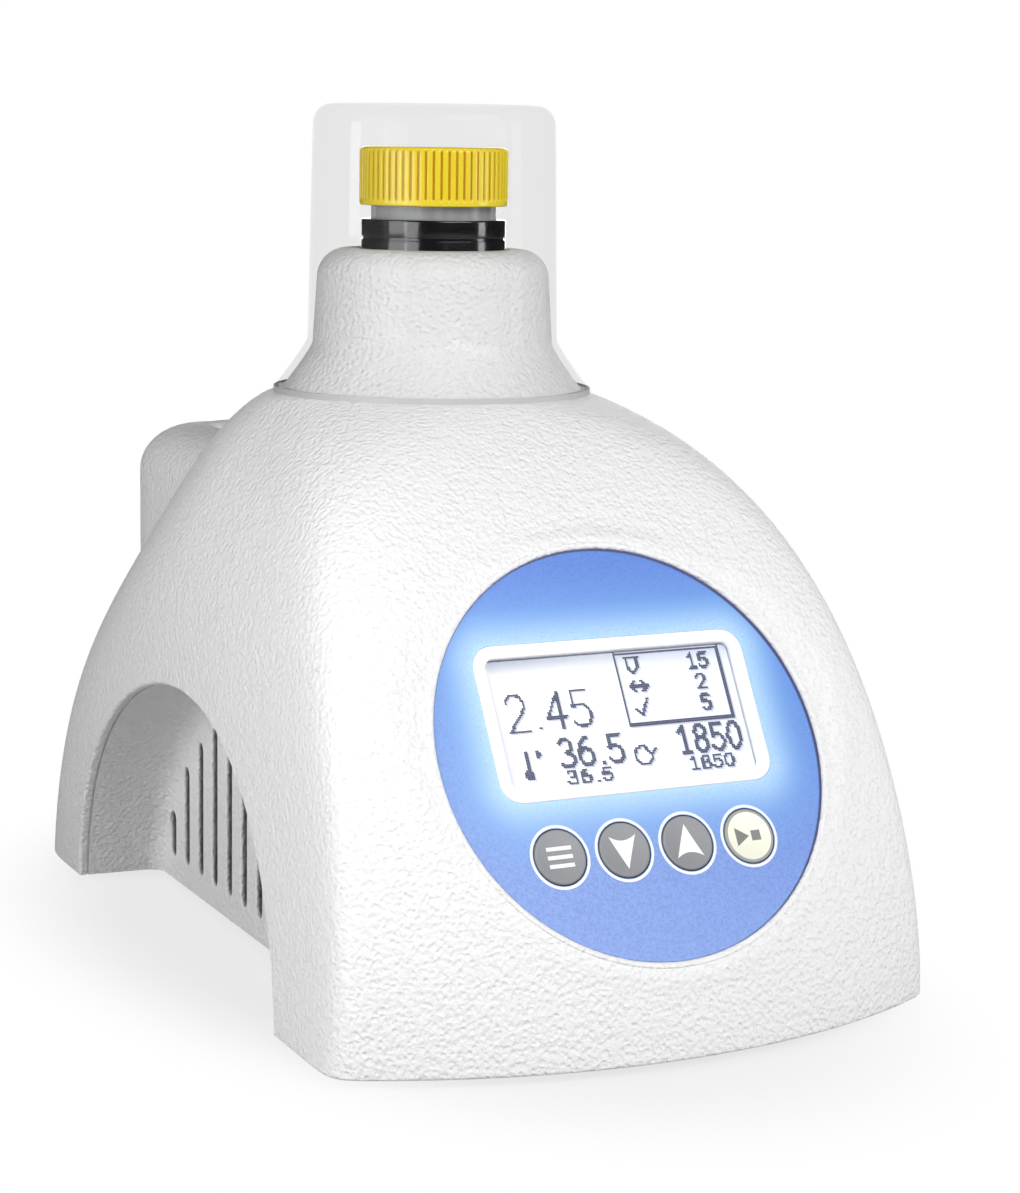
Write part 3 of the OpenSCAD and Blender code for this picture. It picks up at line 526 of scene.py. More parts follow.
# ---- meshes --------------------------------------------------------------------------------------


def skin(points, loop_rows=False):
    """Faces of a grid of points that is closed along its rows.

    Each cell is a quad, and a row drawn to one point is a pole. loop_rows joins the last row to
    the first.
    """
    rows, cols = points.shape[:2]
    index = np.arange(rows * cols).reshape(rows, cols)
    pole = np.ptp(points, axis=1).max(axis=-1) < 1e-6
    index[pole] = index[pole][:, :1]
    i = np.arange(rows if loop_rows else rows - 1)
    j = np.arange(cols)
    k, m = (i + 1) % rows, (j + 1) % cols
    cells = [index[np.ix_(i, j)], index[np.ix_(i, m)], index[np.ix_(k, m)], index[np.ix_(k, j)]]
    quads = np.stack(cells, -1).reshape(-1, 4)
    used, quads = np.unique(quads, return_inverse=True)
    return points.reshape(-1, 3)[used], quads.reshape(-1, 4)


def joined(parts):
    """Several (points, quads) meshes as one."""
    points, quads = zip(*parts)
    offsets = np.cumsum([0] + [len(p) for p in points])
    return np.concatenate(points), np.concatenate([q + o for q, o in zip(quads, offsets)])


def volume(points, quads):
    """Signed volume inside quads, as two triangles each."""
    a, b, c, d = (points[quads[:, i]] for i in range(4))
    return float((np.cross(a, b) * c).sum() + (np.cross(a, c) * d).sum()) / 6


def mesh_object(name, shape):
    """An object at the origin from (points, quads), its faces turned outwards.

    A quad that meets a pole has the same corner twice, and becomes a triangle.
    """
    points, quads = shape
    if volume(points - points.mean(0), quads) < 0:
        quads = quads[:, ::-1]
    kept = quads != np.roll(quads, 1, axis=1)
    corners = quads[kept].astype(np.int32)
    starts = np.cumsum(kept.sum(1)) - kept.sum(1)
    mesh = bpy.data.meshes.new(name)
    mesh.vertices.add(len(points))
    mesh.vertices.foreach_set("co", (points * MM).astype(np.float32).ravel())
    mesh.loops.add(len(corners))
    mesh.loops.foreach_set("vertex_index", corners)
    mesh.polygons.add(len(starts))
    mesh.polygons.foreach_set("loop_start", starts.astype(np.int32))
    mesh.update(calc_edges=True)
    piece = bpy.data.objects.new(name, mesh)
    bpy.context.scene.collection.objects.link(piece)
    return piece


def carve(piece, tools, how="DIFFERENCE"):
    """Cuts closed tools out of a closed piece, or joins them to it, and removes them."""
    for tool in tools:
        step = piece.modifiers.new(tool.name, "BOOLEAN")
        step.operation = how
        step.solver = "MANIFOLD"
        step.object = tool
    bpy.context.view_layer.update()
    shown = piece.evaluated_get(bpy.context.evaluated_depsgraph_get())
    mesh = bpy.data.meshes.new_from_object(shown)
    piece.modifiers.clear()
    old = piece.data
    piece.data = mesh
    bpy.data.meshes.remove(old)
    mesh.name = piece.name
    for tool in tools:
        bpy.data.meshes.remove(tool.data)


def finish_piece(piece, body, nodes, material, sharp=32.0):
    """Shading, a material, a body to ride on and the nodes it stands for.

    It is smooth but for the edges where faces turn by more than sharp degrees.
    """
    mesh = piece.data
    mesh.shade_smooth()
    mesh.set_sharp_from_angle(angle=math.radians(sharp))
    mesh.materials.clear()
    mesh.materials.append(material)
    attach(piece, body)
    if nodes:
        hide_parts(*nodes)


def add_piece(name, shape, body, nodes, material, sharp=32.0):
    """A finished piece from (points, quads)."""
    piece = mesh_object(name, shape)
    finish_piece(piece, body, nodes, material, sharp)
    return piece


def lathe(profile, count=128, place=on_axis):
    """A profile of (radius, height) points turned about Z: x = r cos a, y = r sin a.

    The profile starts and ends on the axis, or is a loop clear of it.
    """
    profile = np.asarray(profile, float)
    on_pole = profile[0, 0] < 1e-9 and profile[-1, 0] < 1e-9
    a = np.arange(count) * 2 * math.pi / count
    return skin(place(ring_points(profile[:, :1], profile[:, 1:], a)), loop_rows=not on_pole)


def cylinder(radius, low, high, place, count=96):
    """A straight lathe with flat ends."""
    return lathe([(0, low), (radius, low), (radius, high), (0, high)], count, place)


def at_height(outline, height):
    """The points of a flat outline, lifted to a height."""
    return np.column_stack([outline, np.full(len(outline), height)])


def prism(outlines, heights, place):
    """A solid through one outline at each height, closed by a pole in the middle of each end."""
    rings = [at_height(o, h) for o, h in zip(outlines, heights)]
    ends = [np.tile(ring.mean(0), (len(ring), 1)) for ring in (rings[0], rings[-1])]
    return skin(place(np.stack([ends[0], *rings, ends[1]])))


def rounded_profile(points, radii, steps=5):
    """A profile whose corners are replaced by arcs; each is cut back by its tangent's length."""
    points = np.asarray(points, float)
    out = []
    for i, radius in enumerate(radii):
        if radius <= 0:
            out.append(points[i][None])
            continue
        here, back, ahead = points[i], points[i - 1], points[(i + 1) % len(points)]
        e1 = (back - here) / np.linalg.norm(back - here)
        e2 = (ahead - here) / np.linalg.norm(ahead - here)
        half = math.acos(np.clip(e1 @ e2, -1, 1)) / 2
        reach = radius / math.tan(half)
        middle = here + (e1 + e2) / np.linalg.norm(e1 + e2) * radius / math.sin(half)
        start, end = here + e1 * reach - middle, here + e2 * reach - middle
        w = np.linspace(0, 1, steps + 1)[:, None]
        span = math.pi - 2 * half
        bend = np.sin((1 - w) * span) * start + np.sin(w * span) * end
        out.append(middle + bend / math.sin(span))
    return np.concatenate(out)


# ---- node trees ----------------------------------------------------------------------------------


class Wire:
    """A value in a node tree; arithmetic on it adds Math nodes."""

    def __init__(self, recipe, socket):
        self.recipe = recipe
        self.socket = socket

    def __add__(self, other):
        return self.recipe.math("ADD", self, other)

    __radd__ = __add__

    def __sub__(self, other):
        return self.recipe.math("SUBTRACT", self, other)

    def __rsub__(self, other):
        return self.recipe.math("SUBTRACT", other, self)

    def __mul__(self, other):
        return self.recipe.math("MULTIPLY", self, other)

    __rmul__ = __mul__

    def __truediv__(self, other):
        return self.recipe.math("DIVIDE", self, other)

    def __rtruediv__(self, other):
        return self.recipe.math("DIVIDE", other, self)

    def __pow__(self, power):
        return self.recipe.math("POWER", self, power)

    def __abs__(self):
        return self.recipe.math("ABSOLUTE", self)


class Recipe:
    """The node tree of a material, or of the world, built by expressions on wires."""

    def __init__(self, name, world=False):
        kind = "World" if world else "Material"
        self.owner = (bpy.data.worlds if world else bpy.data.materials).new(name)
        self.owner.use_nodes = True
        self.tree = self.owner.node_tree
        self.tree.nodes.clear()
        self.output = self.tree.nodes.new("ShaderNodeOutput" + kind)
        self.place = None

    def node(self, kind, settings=None, **values):
        """Adds a node, sets its settings, then its sockets' values or links.

        A key of values is a socket's name, with _ for a space, or _ and the socket's number.
        """
        node = self.tree.nodes.new(kind)
        for key, value in (settings or {}).items():
            setattr(node, key, value)
        for key, value in values.items():
            place = int(key[1:]) if key[0] == "_" else key.replace("_", " ")
            self.feed(node.inputs[place], value)
        return node

    def feed(self, socket, value):
        """Links a wire to a socket, or sets the socket's own value."""
        if isinstance(value, Wire):
            self.tree.links.new(value.socket, socket)
        elif socket.type == "RGBA":
            socket.default_value = (*value, 1)[:4]
        else:
            socket.default_value = value

    def wire(self, node, output=0):
        """One of a node's outputs as a wire."""
        return Wire(self, node.outputs[output])

    def math(self, operation, *values):
        """A Math node."""
        sockets = {f"_{i}": v for i, v in enumerate(values)}
        return self.wire(self.node("ShaderNodeMath", {"operation": operation}, **sockets))

    def low(self, a, b):
        """The lower of two values."""
        return self.math("MINIMUM", a, b)

    def high(self, a, b):
        """The higher of two values."""
        return self.math("MAXIMUM", a, b)

    def step(self, low, high, value):
        """0 below low, 1 above high, smooth between."""
        node = self.node(
            "ShaderNodeMapRange", {"interpolation_type": "SMOOTHSTEP"},
            Value=value, From_Min=low, From_Max=high,
        )
        return self.wire(node)

    def mix(self, factor, a, b):
        """A colour between a and b."""
        node = self.node("ShaderNodeMix", {"data_type": "RGBA"}, _0=factor, _6=a, _7=b)
        return self.wire(node, 2)

    def blend(self, factor, a, b):
        """A shader between the shaders of nodes a and b."""
        return self.node("ShaderNodeMixShader", _0=factor, _1=self.wire(a), _2=self.wire(b))

    def object_place(self):
        """Object coordinates, which are the row frame's in metres."""
        if self.place is None:
            self.place = self.wire(self.node("ShaderNodeTexCoord"), "Object")
        return self.place

    def mapped(self, location=(0, 0, 0), rotation=(0, 0, 0), scale=(1, 1, 1), kind="TEXTURE"):
        """Object coordinates moved, turned and scaled: into a frame of their own with TEXTURE."""
        node = self.node(
            "ShaderNodeMapping", {"vector_type": kind},
            Vector=self.object_place(), Location=location, Rotation=rotation, Scale=scale,
        )
        return self.wire(node)

    def parts(self, vector):
        """The three components of a vector."""
        node = self.node("ShaderNodeSeparateXYZ", Vector=vector)
        return [self.wire(node, i) for i in range(3)]

    def noise(self, scale, detail=2.0, roughness=0.5, vector=None):
        """Soft noise from 0 to 1; scale is the number of its waves in a metre."""
        node = self.node(
            "ShaderNodeTexNoise",
            Vector=vector or self.object_place(), Scale=scale, Detail=detail, Roughness=roughness,
        )
        return self.wire(node, "Fac")

    def cells(self, scale, vector=None, **values):
        """Distance from the middle of the nearest of scattered cells, softened between them."""
        node = self.node(
            "ShaderNodeTexVoronoi", {"feature": "SMOOTH_F1"},
            Vector=vector or self.object_place(), Scale=scale, **values,
        )
        return self.wire(node, "Distance")

    def bump(self, height, depth):
        """A bump whose height of 1 stands for depth in metres."""
        return self.wire(self.node("ShaderNodeBump", Height=height, Distance=depth))

    def show(self, shader):
        """Ends the tree with a shader's node."""
        self.tree.links.new(shader.outputs[0], self.output.inputs[0])
        return self.owner

    def shade(self, **values):
        """Ends the tree with a surface shader; a value that is the same all over is a number."""
        return self.show(self.node("ShaderNodeBsdfPrincipled", **values))


def tint(rgb, share):
    """A colour made lighter or darker by a share."""
    return tuple(min(1.0, x * share) for x in rgb)


# ---- materials -----------------------------------------------------------------------------------


def plastic(name, rgb, roughness, grain, depth=0.012, drift=0.05, **extra):
    """Moulded plastic: a faint drift of colour, a fine grain and small changes of gloss.

    grain is its waves in a metre, depth its height in millimetres.
    """
    r = Recipe(name)
    cloud = r.noise(60, 3)
    fine = r.noise(grain, 2)
    return r.shade(
        Base_Color=r.mix(cloud, tint(rgb, 1 - drift), tint(rgb, 1 + drift)),
        Roughness=fine * 0.14 + (roughness - 0.07),
        Normal=r.bump(fine, depth * MM),
        **extra,
    )


def metal(name, rgb, roughness, stretch=(1.0, 1.0, 1.0)):
    """Worked metal: noise drawn out along the tool's marks varies its gloss and its height."""
    r = Recipe(name)
    marks = r.noise(900, 3, 0.6, vector=r.mapped(scale=stretch, kind="POINT"))
    return r.shade(
        Base_Color=r.mix(marks, tint(rgb, 0.88), tint(rgb, 1.08)),
        Roughness=marks * 0.2 + (roughness - 0.1),
        Normal=r.bump(marks, 0.004 * MM),
        Metallic=1.0,
    )


def housing_white(settings):
    """White ABS with a leather-like grain: creased cells, warped and broken up by noise.

    Painted shade darkens it behind the face of the arches' walls, where the slots open into the
    body.
    """
    r = Recipe("housing_white")
    drift = r.node("ShaderNodeTexNoise", Vector=r.object_place(), Scale=540.0, Detail=1.0)
    bent = r.node(
        "ShaderNodeVectorMath", {"operation": "MULTIPLY_ADD"},
        _0=r.wire(drift, "Color"), _1=(MM, MM, MM), _2=r.object_place(),
    )
    cells = r.cells(800, vector=r.wire(bent), Smoothness=0.7)
    pebble = r.noise(1150, 2, 0.55)
    broad = r.noise(240, 2)
    height = r.step(0.05, 0.75, cells) * 0.55 + pebble * 0.7 + broad * 0.5
    white = r.mix(pebble, tint(settings.white, 0.965), tint(settings.white, 1.02))
    x, y, z = r.parts(r.mapped(location=(0, NECK_Y * MM, 0), scale=(MM, MM, MM)))
    lean, turn = math.sin(settings.side_taper), math.cos(settings.side_taper)
    behind = settings.side_reach / MM - ARCH_DEPTH - abs(x) * turn - y * lean
    half_field, field_top, blur = 72.0, 54.0, 3.0
    # Painted shade: behind the wall's face, in the field of the slots, the white turns towards dark
    # grey.
    slots = r.step(0.2, 1.2, behind) * (1 - r.step(half_field, half_field + blur, abs(y)))
    slots = slots * (1 - r.step(field_top, field_top + blur, z)) * 0.85
    return r.shade(
        Base_Color=r.mix(slots, white, srgb(62, 62, 64)),
        Roughness=pebble * 0.16 + 0.42,
        Normal=r.bump(height, settings.grain_depth),
    )


def clear_plastic(name, veil, haze=0.003, gloss=0.13):
    """Clear plastic, whose outside has the attribute "outer".

    The outside takes a thin grey veil of the light, a trace is scattered, and a part mirrors by
    Fresnel's share, held down where the surface is seen edge on.
    """
    r = Recipe(name)
    outer = r.wire(r.node("ShaderNodeAttribute", {"attribute_name": "outer"}), "Fac")
    through = r.node("ShaderNodeBsdfTransparent", Color=(1, 1, 1))
    veiled = r.node("ShaderNodeBsdfTransparent", Color=(1 - veil, 1 - veil, 1 - veil))
    milk = r.node("ShaderNodeBsdfDiffuse", Color=(0.8, 0.82, 0.84))
    mirror = r.node("ShaderNodeBsdfGlossy", Color=(1, 1, 1), Roughness=0.05)
    cloudy = r.blend(r.noise(120, 2) * (2 * haze), r.blend(outer, through, veiled), milk)
    fresnel = r.wire(r.node("ShaderNodeFresnel", IOR=1.49))
    return r.show(r.blend(r.low(fresnel * gloss, 0.02) * outer, cloudy, mirror))


def translucent_tube():
    """Natural polypropylene: half clear, half milky, with faint flow lines along the tube."""
    r = Recipe("tube_clear")
    flow = r.noise(500, 2, vector=r.mapped(scale=(1, 1, 0.1), kind="POINT"))
    through = r.node("ShaderNodeBsdfTransparent", Color=(0.9, 0.91, 0.92))
    milky = r.node(
        "ShaderNodeBsdfPrincipled",
        Base_Color=r.mix(flow, srgb(188, 190, 192), srgb(212, 214, 216)),
        Roughness=0.22,
        Normal=r.bump(flow, 0.02 * MM),
    )
    return r.show(r.blend(flow * 0.1 + 0.55, through, milky))


def cap_yellow(settings):
    """Yellow polypropylene, with painted shade down in the grooves but not on the top."""
    r = Recipe("cap_yellow")
    x, y, z = r.parts(r.mapped(location=(0, NECK_Y * MM, 0)))
    out = (x * x + y * y) ** 0.5
    # Painted shade: a darker ochre down in the grooves, none on the crests or the top.
    unshaded_crest = r.step((CAP_R - settings.rib_depth / MM) * MM, (CAP_R - 0.08) * MM, out)
    unshaded_crest = r.high(unshaded_crest, r.step((CAP_TOP_Z - 1.2) * MM, (CAP_TOP_Z - 0.7) * MM, z))
    fine = r.noise(1500, 2)
    flesh = r.mix(fine, tint(settings.cap, 0.96), tint(settings.cap, 1.02))
    return r.shade(
        Base_Color=r.mix(unshaded_crest, srgb(212, 160, 28), flesh),
        Roughness=fine * 0.1 + 0.14,
        Normal=r.bump(fine, 0.012 * MM),
        Subsurface_Weight=0.08,
        Subsurface_Scale=0.001,
    )


def panel_parts(r, at=(0.0, 0.0)):
    """Right, up and out of the panel in millimetres, measured from a point on it."""
    place = tuple((PANEL_AT + at[0] * PANEL_X + at[1] * PANEL_UP) * MM)
    lean = (math.pi / 2 - PANEL_LEAN, 0, 0)
    return r.parts(r.mapped(location=place, rotation=lean, scale=(MM, MM, MM)))


def overlay_blue(settings):
    """The printed film: a gradient up the panel, specks, a pale glow round the display and a white
    ring round each key, with a painted shadow darkening its rim at the right."""
    r = Recipe("overlay_blue")
    u, v, _ = panel_parts(r)
    speck = r.noise(1700, 2, 0.7)
    field = r.mix(r.step(-50.0, 45.0, v + u * 0.4), settings.low_blue, settings.top_blue)
    deep = r.mix(0.6, field, (0.03, 0.07, 0.4))
    field = r.mix(r.step(0.38, 0.66, speck) * 0.4, field, deep)
    across = r.high(abs(u) - (BEZEL_HALF[0] - BEZEL_CORNER), 0.0)
    up = r.high(abs(v - DISPLAY_UP) - (BEZEL_HALF[1] - BEZEL_CORNER), 0.0)
    away = (across * across + up * up) ** 0.5 - BEZEL_CORNER
    wide = 1 - r.step(-4.0, 20.0, away)
    field = r.mix(wide * 0.62, field, settings.azure)
    near = (1 - r.step(-2.0, 11.0, away)) ** 1.6
    field = r.mix(near * (0.76 + 0.8 * (speck - 0.5)), field, settings.glow)
    number = r.math("ROUND", u / KEY_PITCH + KEY_MIDDLE)
    du = u - (r.low(r.high(number, 0.0), 2 * KEY_MIDDLE) - KEY_MIDDLE) * KEY_PITCH
    dv = v + KEY_DOWN
    off = (du * du + dv * dv) ** 0.5
    field = r.mix(1 - r.step(0.27, 0.38, abs(off - KEY_RING_R)), field, srgb(240, 243, 246))
    # Painted shadow: a dark blue crescent inside the rim, strongest at the right, where the lip
    # would shade the film.
    rim = ((u + 0.55) * (u + 0.55) + (v + 0.3) * (v + 0.3)) ** 0.5
    field = r.mix(r.step(PANEL_R - 0.45, PANEL_R, rim), field, srgb(28, 44, 110))
    return r.shade(
        Base_Color=field,
        Roughness=speck * 0.16 + 0.3,
        Normal=r.bump(speck, 0.01 * MM),
    )


def display_ground(settings):
    """The lit display: pale, bluer to the right, with painted shade under its frame's upper and
    left edges.
    """
    r = Recipe("display_glass")
    u, v, _ = panel_parts(r, (0.0, DISPLAY_UP))
    # Painted shade under the frame's upper and left edges, the upper one fading to the right.
    fade = 1 - r.step(-34.0, 40.0, u) * 0.5
    under_top = (1 - r.step(-0.5, 6.5, WINDOW_HALF[1] - v)) * fade
    beside = 1 - r.step(-0.3, 3.2, u + WINDOW_HALF[0])
    shade = r.high(under_top * 0.95, beside * 0.7)
    grid = r.noise(900, 1)
    cool = r.mix(r.step(-14.0, 24.0, u), srgb(255, 255, 255), settings.display_ground)
    cool = r.mix(r.step(10.0, -14.0, v) * 0.3, cool, srgb(214, 222, 244))
    field = r.mix(shade, cool, srgb(128, 138, 158))
    field = r.mix(grid * 0.1, field, srgb(190, 200, 226))
    return r.shade(Base_Color=field, Roughness=0.25, Emission_Color=field, Emission_Strength=0.22)


def key_face(name, number, rgb, mark, ink):
    """A satin key, lighter towards its top by painted light, with a printed mark, the region where
    its least edge distance is above 0.
    """
    r = Recipe(name)
    u, v, _ = panel_parts(r, key_place(number))
    fine = r.noise(1900, 2)
    edges, edge_ring = mark(r, u, v)
    inside = r.step(-0.06, 0.06, edges)
    # Painted light: the key's colour grows lighter towards its top.
    painted_top_light = r.step(-6.0, 7.0, v)
    field = r.mix(painted_top_light, tint(rgb, 0.9), tint(rgb, 1.12))
    field = r.mix(inside, field, ink)
    if edge_ring:
        off = (u * u + v * v) ** 0.5
        field = r.mix(r.step(5.3, 5.42, off), field, srgb(158, 160, 158))
    return r.shade(
        Base_Color=field, Roughness=fine * 0.12 + 0.32, Normal=r.bump(fine, 0.01 * MM)
    )


def arrow_mark(direction):
    """An arrowhead with a hollow base; direction is 1 for up and -1 for down."""
    half, tip, base, notch = 3.3, 4.2, -3.2, 1.1

    def mark(r, u, v):
        along = v * direction
        sides = (tip - along) * (half / (tip - base)) - abs(u)
        heel = along - base - notch * (1 - u * u / half**2)
        return r.low(sides * 0.9, heel), False

    return mark


def bars_mark(r, u, v):
    """Three short bars, one above the other."""
    nearest = r.low(r.low(abs(v), abs(v - 1.9)), abs(v + 1.9))
    return r.low(0.42 - nearest, 3.0 - abs(u)), False


def start_mark(r, u, v):
    """A triangle pointing right beside a square."""
    triangle = r.low((-0.1 - u) * 0.62 - abs(v) + 0.05, u + 3.4)
    square = 1.15 - r.high(abs(u - 1.7), abs(v))
    return r.high(triangle, square), True


def circuit_board():
    """Green solder mask over tracks in lanes, which run along or across from patch to patch."""
    r = Recipe("circuit_board")
    x, y, _ = r.parts(r.mapped(scale=(1 / MM, 1 / MM, 1 / MM), kind="POINT"))
    lanes = abs(r.math("FRACT", x / 1.3) - 0.5)
    cross = abs(r.math("FRACT", y / 2.1) - 0.5)
    patch = r.step(0.47, 0.53, r.noise(90, 1))
    track = 1 - r.step(0.16, 0.22, lanes * patch + cross * (1 - patch))
    field = r.mix(track, srgb(16, 74, 42), srgb(34, 112, 62))
    return r.shade(Base_Color=field, Roughness=0.35, Normal=r.bump(track, 0.02 * MM))


def ceramic():
    """Matt white ceramic with a faint grain."""
    r = Recipe("module_ceramic")
    grain = r.noise(1400, 3)
    return r.shade(
        Base_Color=r.mix(grain, srgb(222, 222, 216), srgb(240, 240, 236)),
        Roughness=grain * 0.2 + 0.5,
    )


def filter_white():
    """Porous white membrane: fine pits."""
    r = Recipe("filter_white")
    pits = r.cells(2600)
    return r.shade(
        Base_Color=r.mix(pits, srgb(214, 214, 210), srgb(246, 246, 244)),
        Roughness=pits * 0.2 + 0.75,
        Normal=r.bump(pits, 0.04 * MM),
    )


def rocker_black():
    """Black plastic with a white bar on the rocker's upper half and a white ring on the lower."""
    r = Recipe("rocker_black")
    pivot = (SWITCH_AT[0] * MM, (NECK_Y + REAR_Y - ROCKER_IN) * MM, SWITCH_AT[1] * MM)
    u, _, v = r.parts(r.mapped(location=pivot, rotation=(-ROCKER_TILT, 0, 0), scale=(MM, MM, MM)))
    bar = r.low(1.5 - abs(v - 4.2), 0.22 - abs(u))
    off = (u * u + (v + 4.2) * (v + 4.2)) ** 0.5
    ring = 0.22 - abs(off - 1.3)
    print_on = r.step(-0.04, 0.04, r.high(bar, ring))
    fine = r.noise(1800, 2)
    return r.shade(
        Base_Color=r.mix(print_on, srgb(22, 22, 24), srgb(225, 225, 225)),
        Roughness=fine * 0.14 + 0.3,
        Normal=r.bump(fine, 0.012 * MM),
    )


# ---- shapes of the pieces ------------------------------------------------------------------------


def key_place(number):
    """Centre of a key on the panel, counted from the left."""
    return ((number - KEY_MIDDLE) * KEY_PITCH, -KEY_DOWN)


def neck_profile():
    """(radius, z) of the neck's outside from the seam up: the lid's inner line, a round shoulder
    and a flat top."""
    drop = SEAT_HIGH[2] - SEAT_LOW[2]
    z = np.linspace(LID_BASE_Z, LID_BASE_Z + LID_FLARE_H, 15)
    flare = np.stack([lid_outer(z) - LID_WALL - PLAY, z - drop], 1)
    foot = flare[0] + arc((NECK_EDGE, NECK_EDGE), NECK_EDGE, 262, 182, 4)
    wall = np.linspace(flare[-1], (NECK_R, NECK_TOP - SHOULDER), 9)[1:-1]
    shoulder = arc((NECK_R - SHOULDER, NECK_TOP - SHOULDER), SHOULDER, 0, 90, 14)
    return np.concatenate([foot, flare[1:], wall, shoulder, [(NECK_BORE_R - 1, NECK_TOP)]])


def housing_skin(form, edge):
    """The outside as one grid: ring i is at height z_i, its radius the form's reach.

    The foot is drawn in by a quarter circle, and past the seam the rings go up the neck. Near the
    panel the points slide along its normal to just under the plane of the lip: from far off where
    they stand above it, only from close by where they lie below.
    """
    a = columns(SKIN_GRID[0])
    turn = np.radians(np.linspace(0, 90, 6))
    z = form.levels(SKIN_GRID[1])
    foot_z = FOOT_Z + edge * (1 - np.cos(turn))
    z = np.concatenate([foot_z, z[z > FOOT_Z + edge * FOOT_CLEAR]])
    draw = np.zeros((len(z), 1))
    draw[: len(turn), 0] = edge * (1 - np.sin(turn))
    neck = neck_profile()
    pole = np.zeros((1, len(a)))
    r = form.reach(a[None, :], z[:, None]) - draw
    r = np.concatenate([pole, r, np.repeat(neck[:, :1], len(a), 1), pole])
    z = np.concatenate([[FOOT_Z], z, neck[:, 1], [NECK_TOP]])
    local = to_panel(on_axis(ring_points(r, z[:, None], a)))
    rise = LIP_UP - LIP_EDGE - local[..., 2]
    past = np.hypot(local[..., 0], local[..., 1]) - PANEL_R - LIP_W
    share = 1 - np.where(rise > 0, smooth(0, LIP_FADE[0], past), smooth(0, LIP_FADE[1], past))
    local[..., 2] += rise * share * (local[..., 2] > PANEL_BEHIND)
    return skin(on_panel(local))


def cavity_skin(form):
    """The space inside: the same reach, one wall thinner all over, open below the foot."""
    a = columns(CAVITY_GRID[0])
    z = form.levels(CAVITY_GRID[1])
    r = form.reach(a[None, :], z[:, None], WALL)
    z = FOOT_Z + (z - FOOT_Z) * ((SEAM_Z - FOOT_Z - WALL) / (SEAM_Z - FOOT_Z))
    pole = np.zeros((1, len(a)))
    r = np.concatenate([pole, r[:1], r, pole])
    z = np.concatenate([[FOOT_Z - 1, FOOT_Z - 1], z, z[-1:]])
    return skin(on_axis(ring_points(r, z[:, None], a)))


def pocket_profile(grow):
    """(radius, height out) of the arch's pocket from its inner wall up the side."""
    fillet = ARCH_FILLET + grow
    r = ARCH_R + grow
    return arc((r - fillet, fillet), fillet, -90, 0, 12)


def arch_turned(r, h, a, side, form):
    """Radii and heights (rows by directions) turned about the arch's axis, 0 being straight up.

    The crown leans to the front by the square of its share of the arch's height.
    """
    up = r * np.cos(a)
    share = np.clip((up + ARCH_Z) / (ARCH_R + ARCH_Z), 0, 1)
    points = np.stack([h, r * np.sin(a) - ARCH_LEAN * share**2, up], -1)
    return on_arch(points, side, form.taper)


def arch_pocket(form, side, grow):
    """The pocket as a plain lathe, grown by the wall's thickness, to keep the wall behind it."""
    ends = [(ARCH_R + grow, POCKET_END), (0, POCKET_END)]
    profile = np.concatenate([[(0, 0)], pocket_profile(grow), ends])
    a = np.linspace(0, 2 * math.pi, POCKET_POINTS, endpoint=False)[None, :]
    r = np.broadcast_to(profile[:, :1], (len(profile), a.shape[1]))
    h = np.broadcast_to(profile[:, 1:] + form.wall_at - grow, r.shape)
    return skin(arch_turned(r, h, a, side, form))


def arch_cutter(form, side, edge):
    """The pocket with a groove and a flared mouth.

    The height at which its side meets the skin is found by halving. There the side turns into an
    arc tangent to the side and to the skin, so the mouth gets a round edge.
    """
    a = np.linspace(0, 2 * math.pi, ARCH_POINTS, endpoint=False)

    def rim(radius):
        low, high = np.full_like(a, form.wall_at), np.full_like(a, form.wall_at + MOUTH_RANGE)
        for _ in range(HALVINGS):
            middle = (low + high) / 2
            outside = form.depth(arch_turned(radius, middle, a, side, form)) > 0
            low, high = np.where(outside, low, middle), np.where(outside, middle, high)
        return middle

    out = rim(ARCH_R)
    slope = np.arctan((rim(ARCH_R + 2) - out) / 2)
    half = (math.pi / 2 + slope) / 2
    share = np.linspace(0, 1, 8)[:, None]
    turn = math.pi + (slope - math.pi / 2 + MOUTH_SHORT) * share
    arc_r = ARCH_R + edge + edge * np.cos(turn)
    arc_h = out - edge / np.tan(half) + edge * np.sin(turn)
    leave_r = arc_r[-1] + np.sin(turn[-1])
    leave_h = arc_h[-1] - np.cos(turn[-1])
    inner = np.concatenate([[(0, 0)], pocket_profile(0)])
    ones = np.ones_like(a)
    groove_r = ARCH_R + np.outer([0, GROOVE, GROOVE, 0], ones)
    groove_h = np.outer([1, 1, 0, 0], -GROOVE * ones) + (out - GROOVE_IN)
    floor_r, floor_h = np.outer(inner[:, 0], ones), np.outer(inner[:, 1] + form.wall_at, ones)
    r = np.concatenate([floor_r, groove_r, arc_r, [leave_r, leave_r, 0 * ones]])
    h = np.concatenate([floor_h, groove_h, arc_h, [leave_h, POCKET_END * ones, POCKET_END * ones]])
    return skin(arch_turned(r, h, a, side, form))


def flared_slot(half_w, half_h, centre, surface, edge, place):
    """A slot with round ends through a wall whose face is at surface; near the face the outline
    grows by an arc, and past it falls back."""
    growth, heights = [0.0], [surface - WALL - CUT_PAST]
    for draw, rise in edge_turn(edge, 5, SLOT_FLARE):
        growth.append(draw)
        heights.append(surface - edge + rise)
    growth += [growth[-1], 0.0, 0.0]
    heights += [surface + 0.03, surface + 0.04, surface + 6]
    outlines = [
        rounded_outline(half_w + g, half_h + g, half_w + g, 6) + np.array(centre) for g in growth
    ]
    return prism(outlines, heights, place)


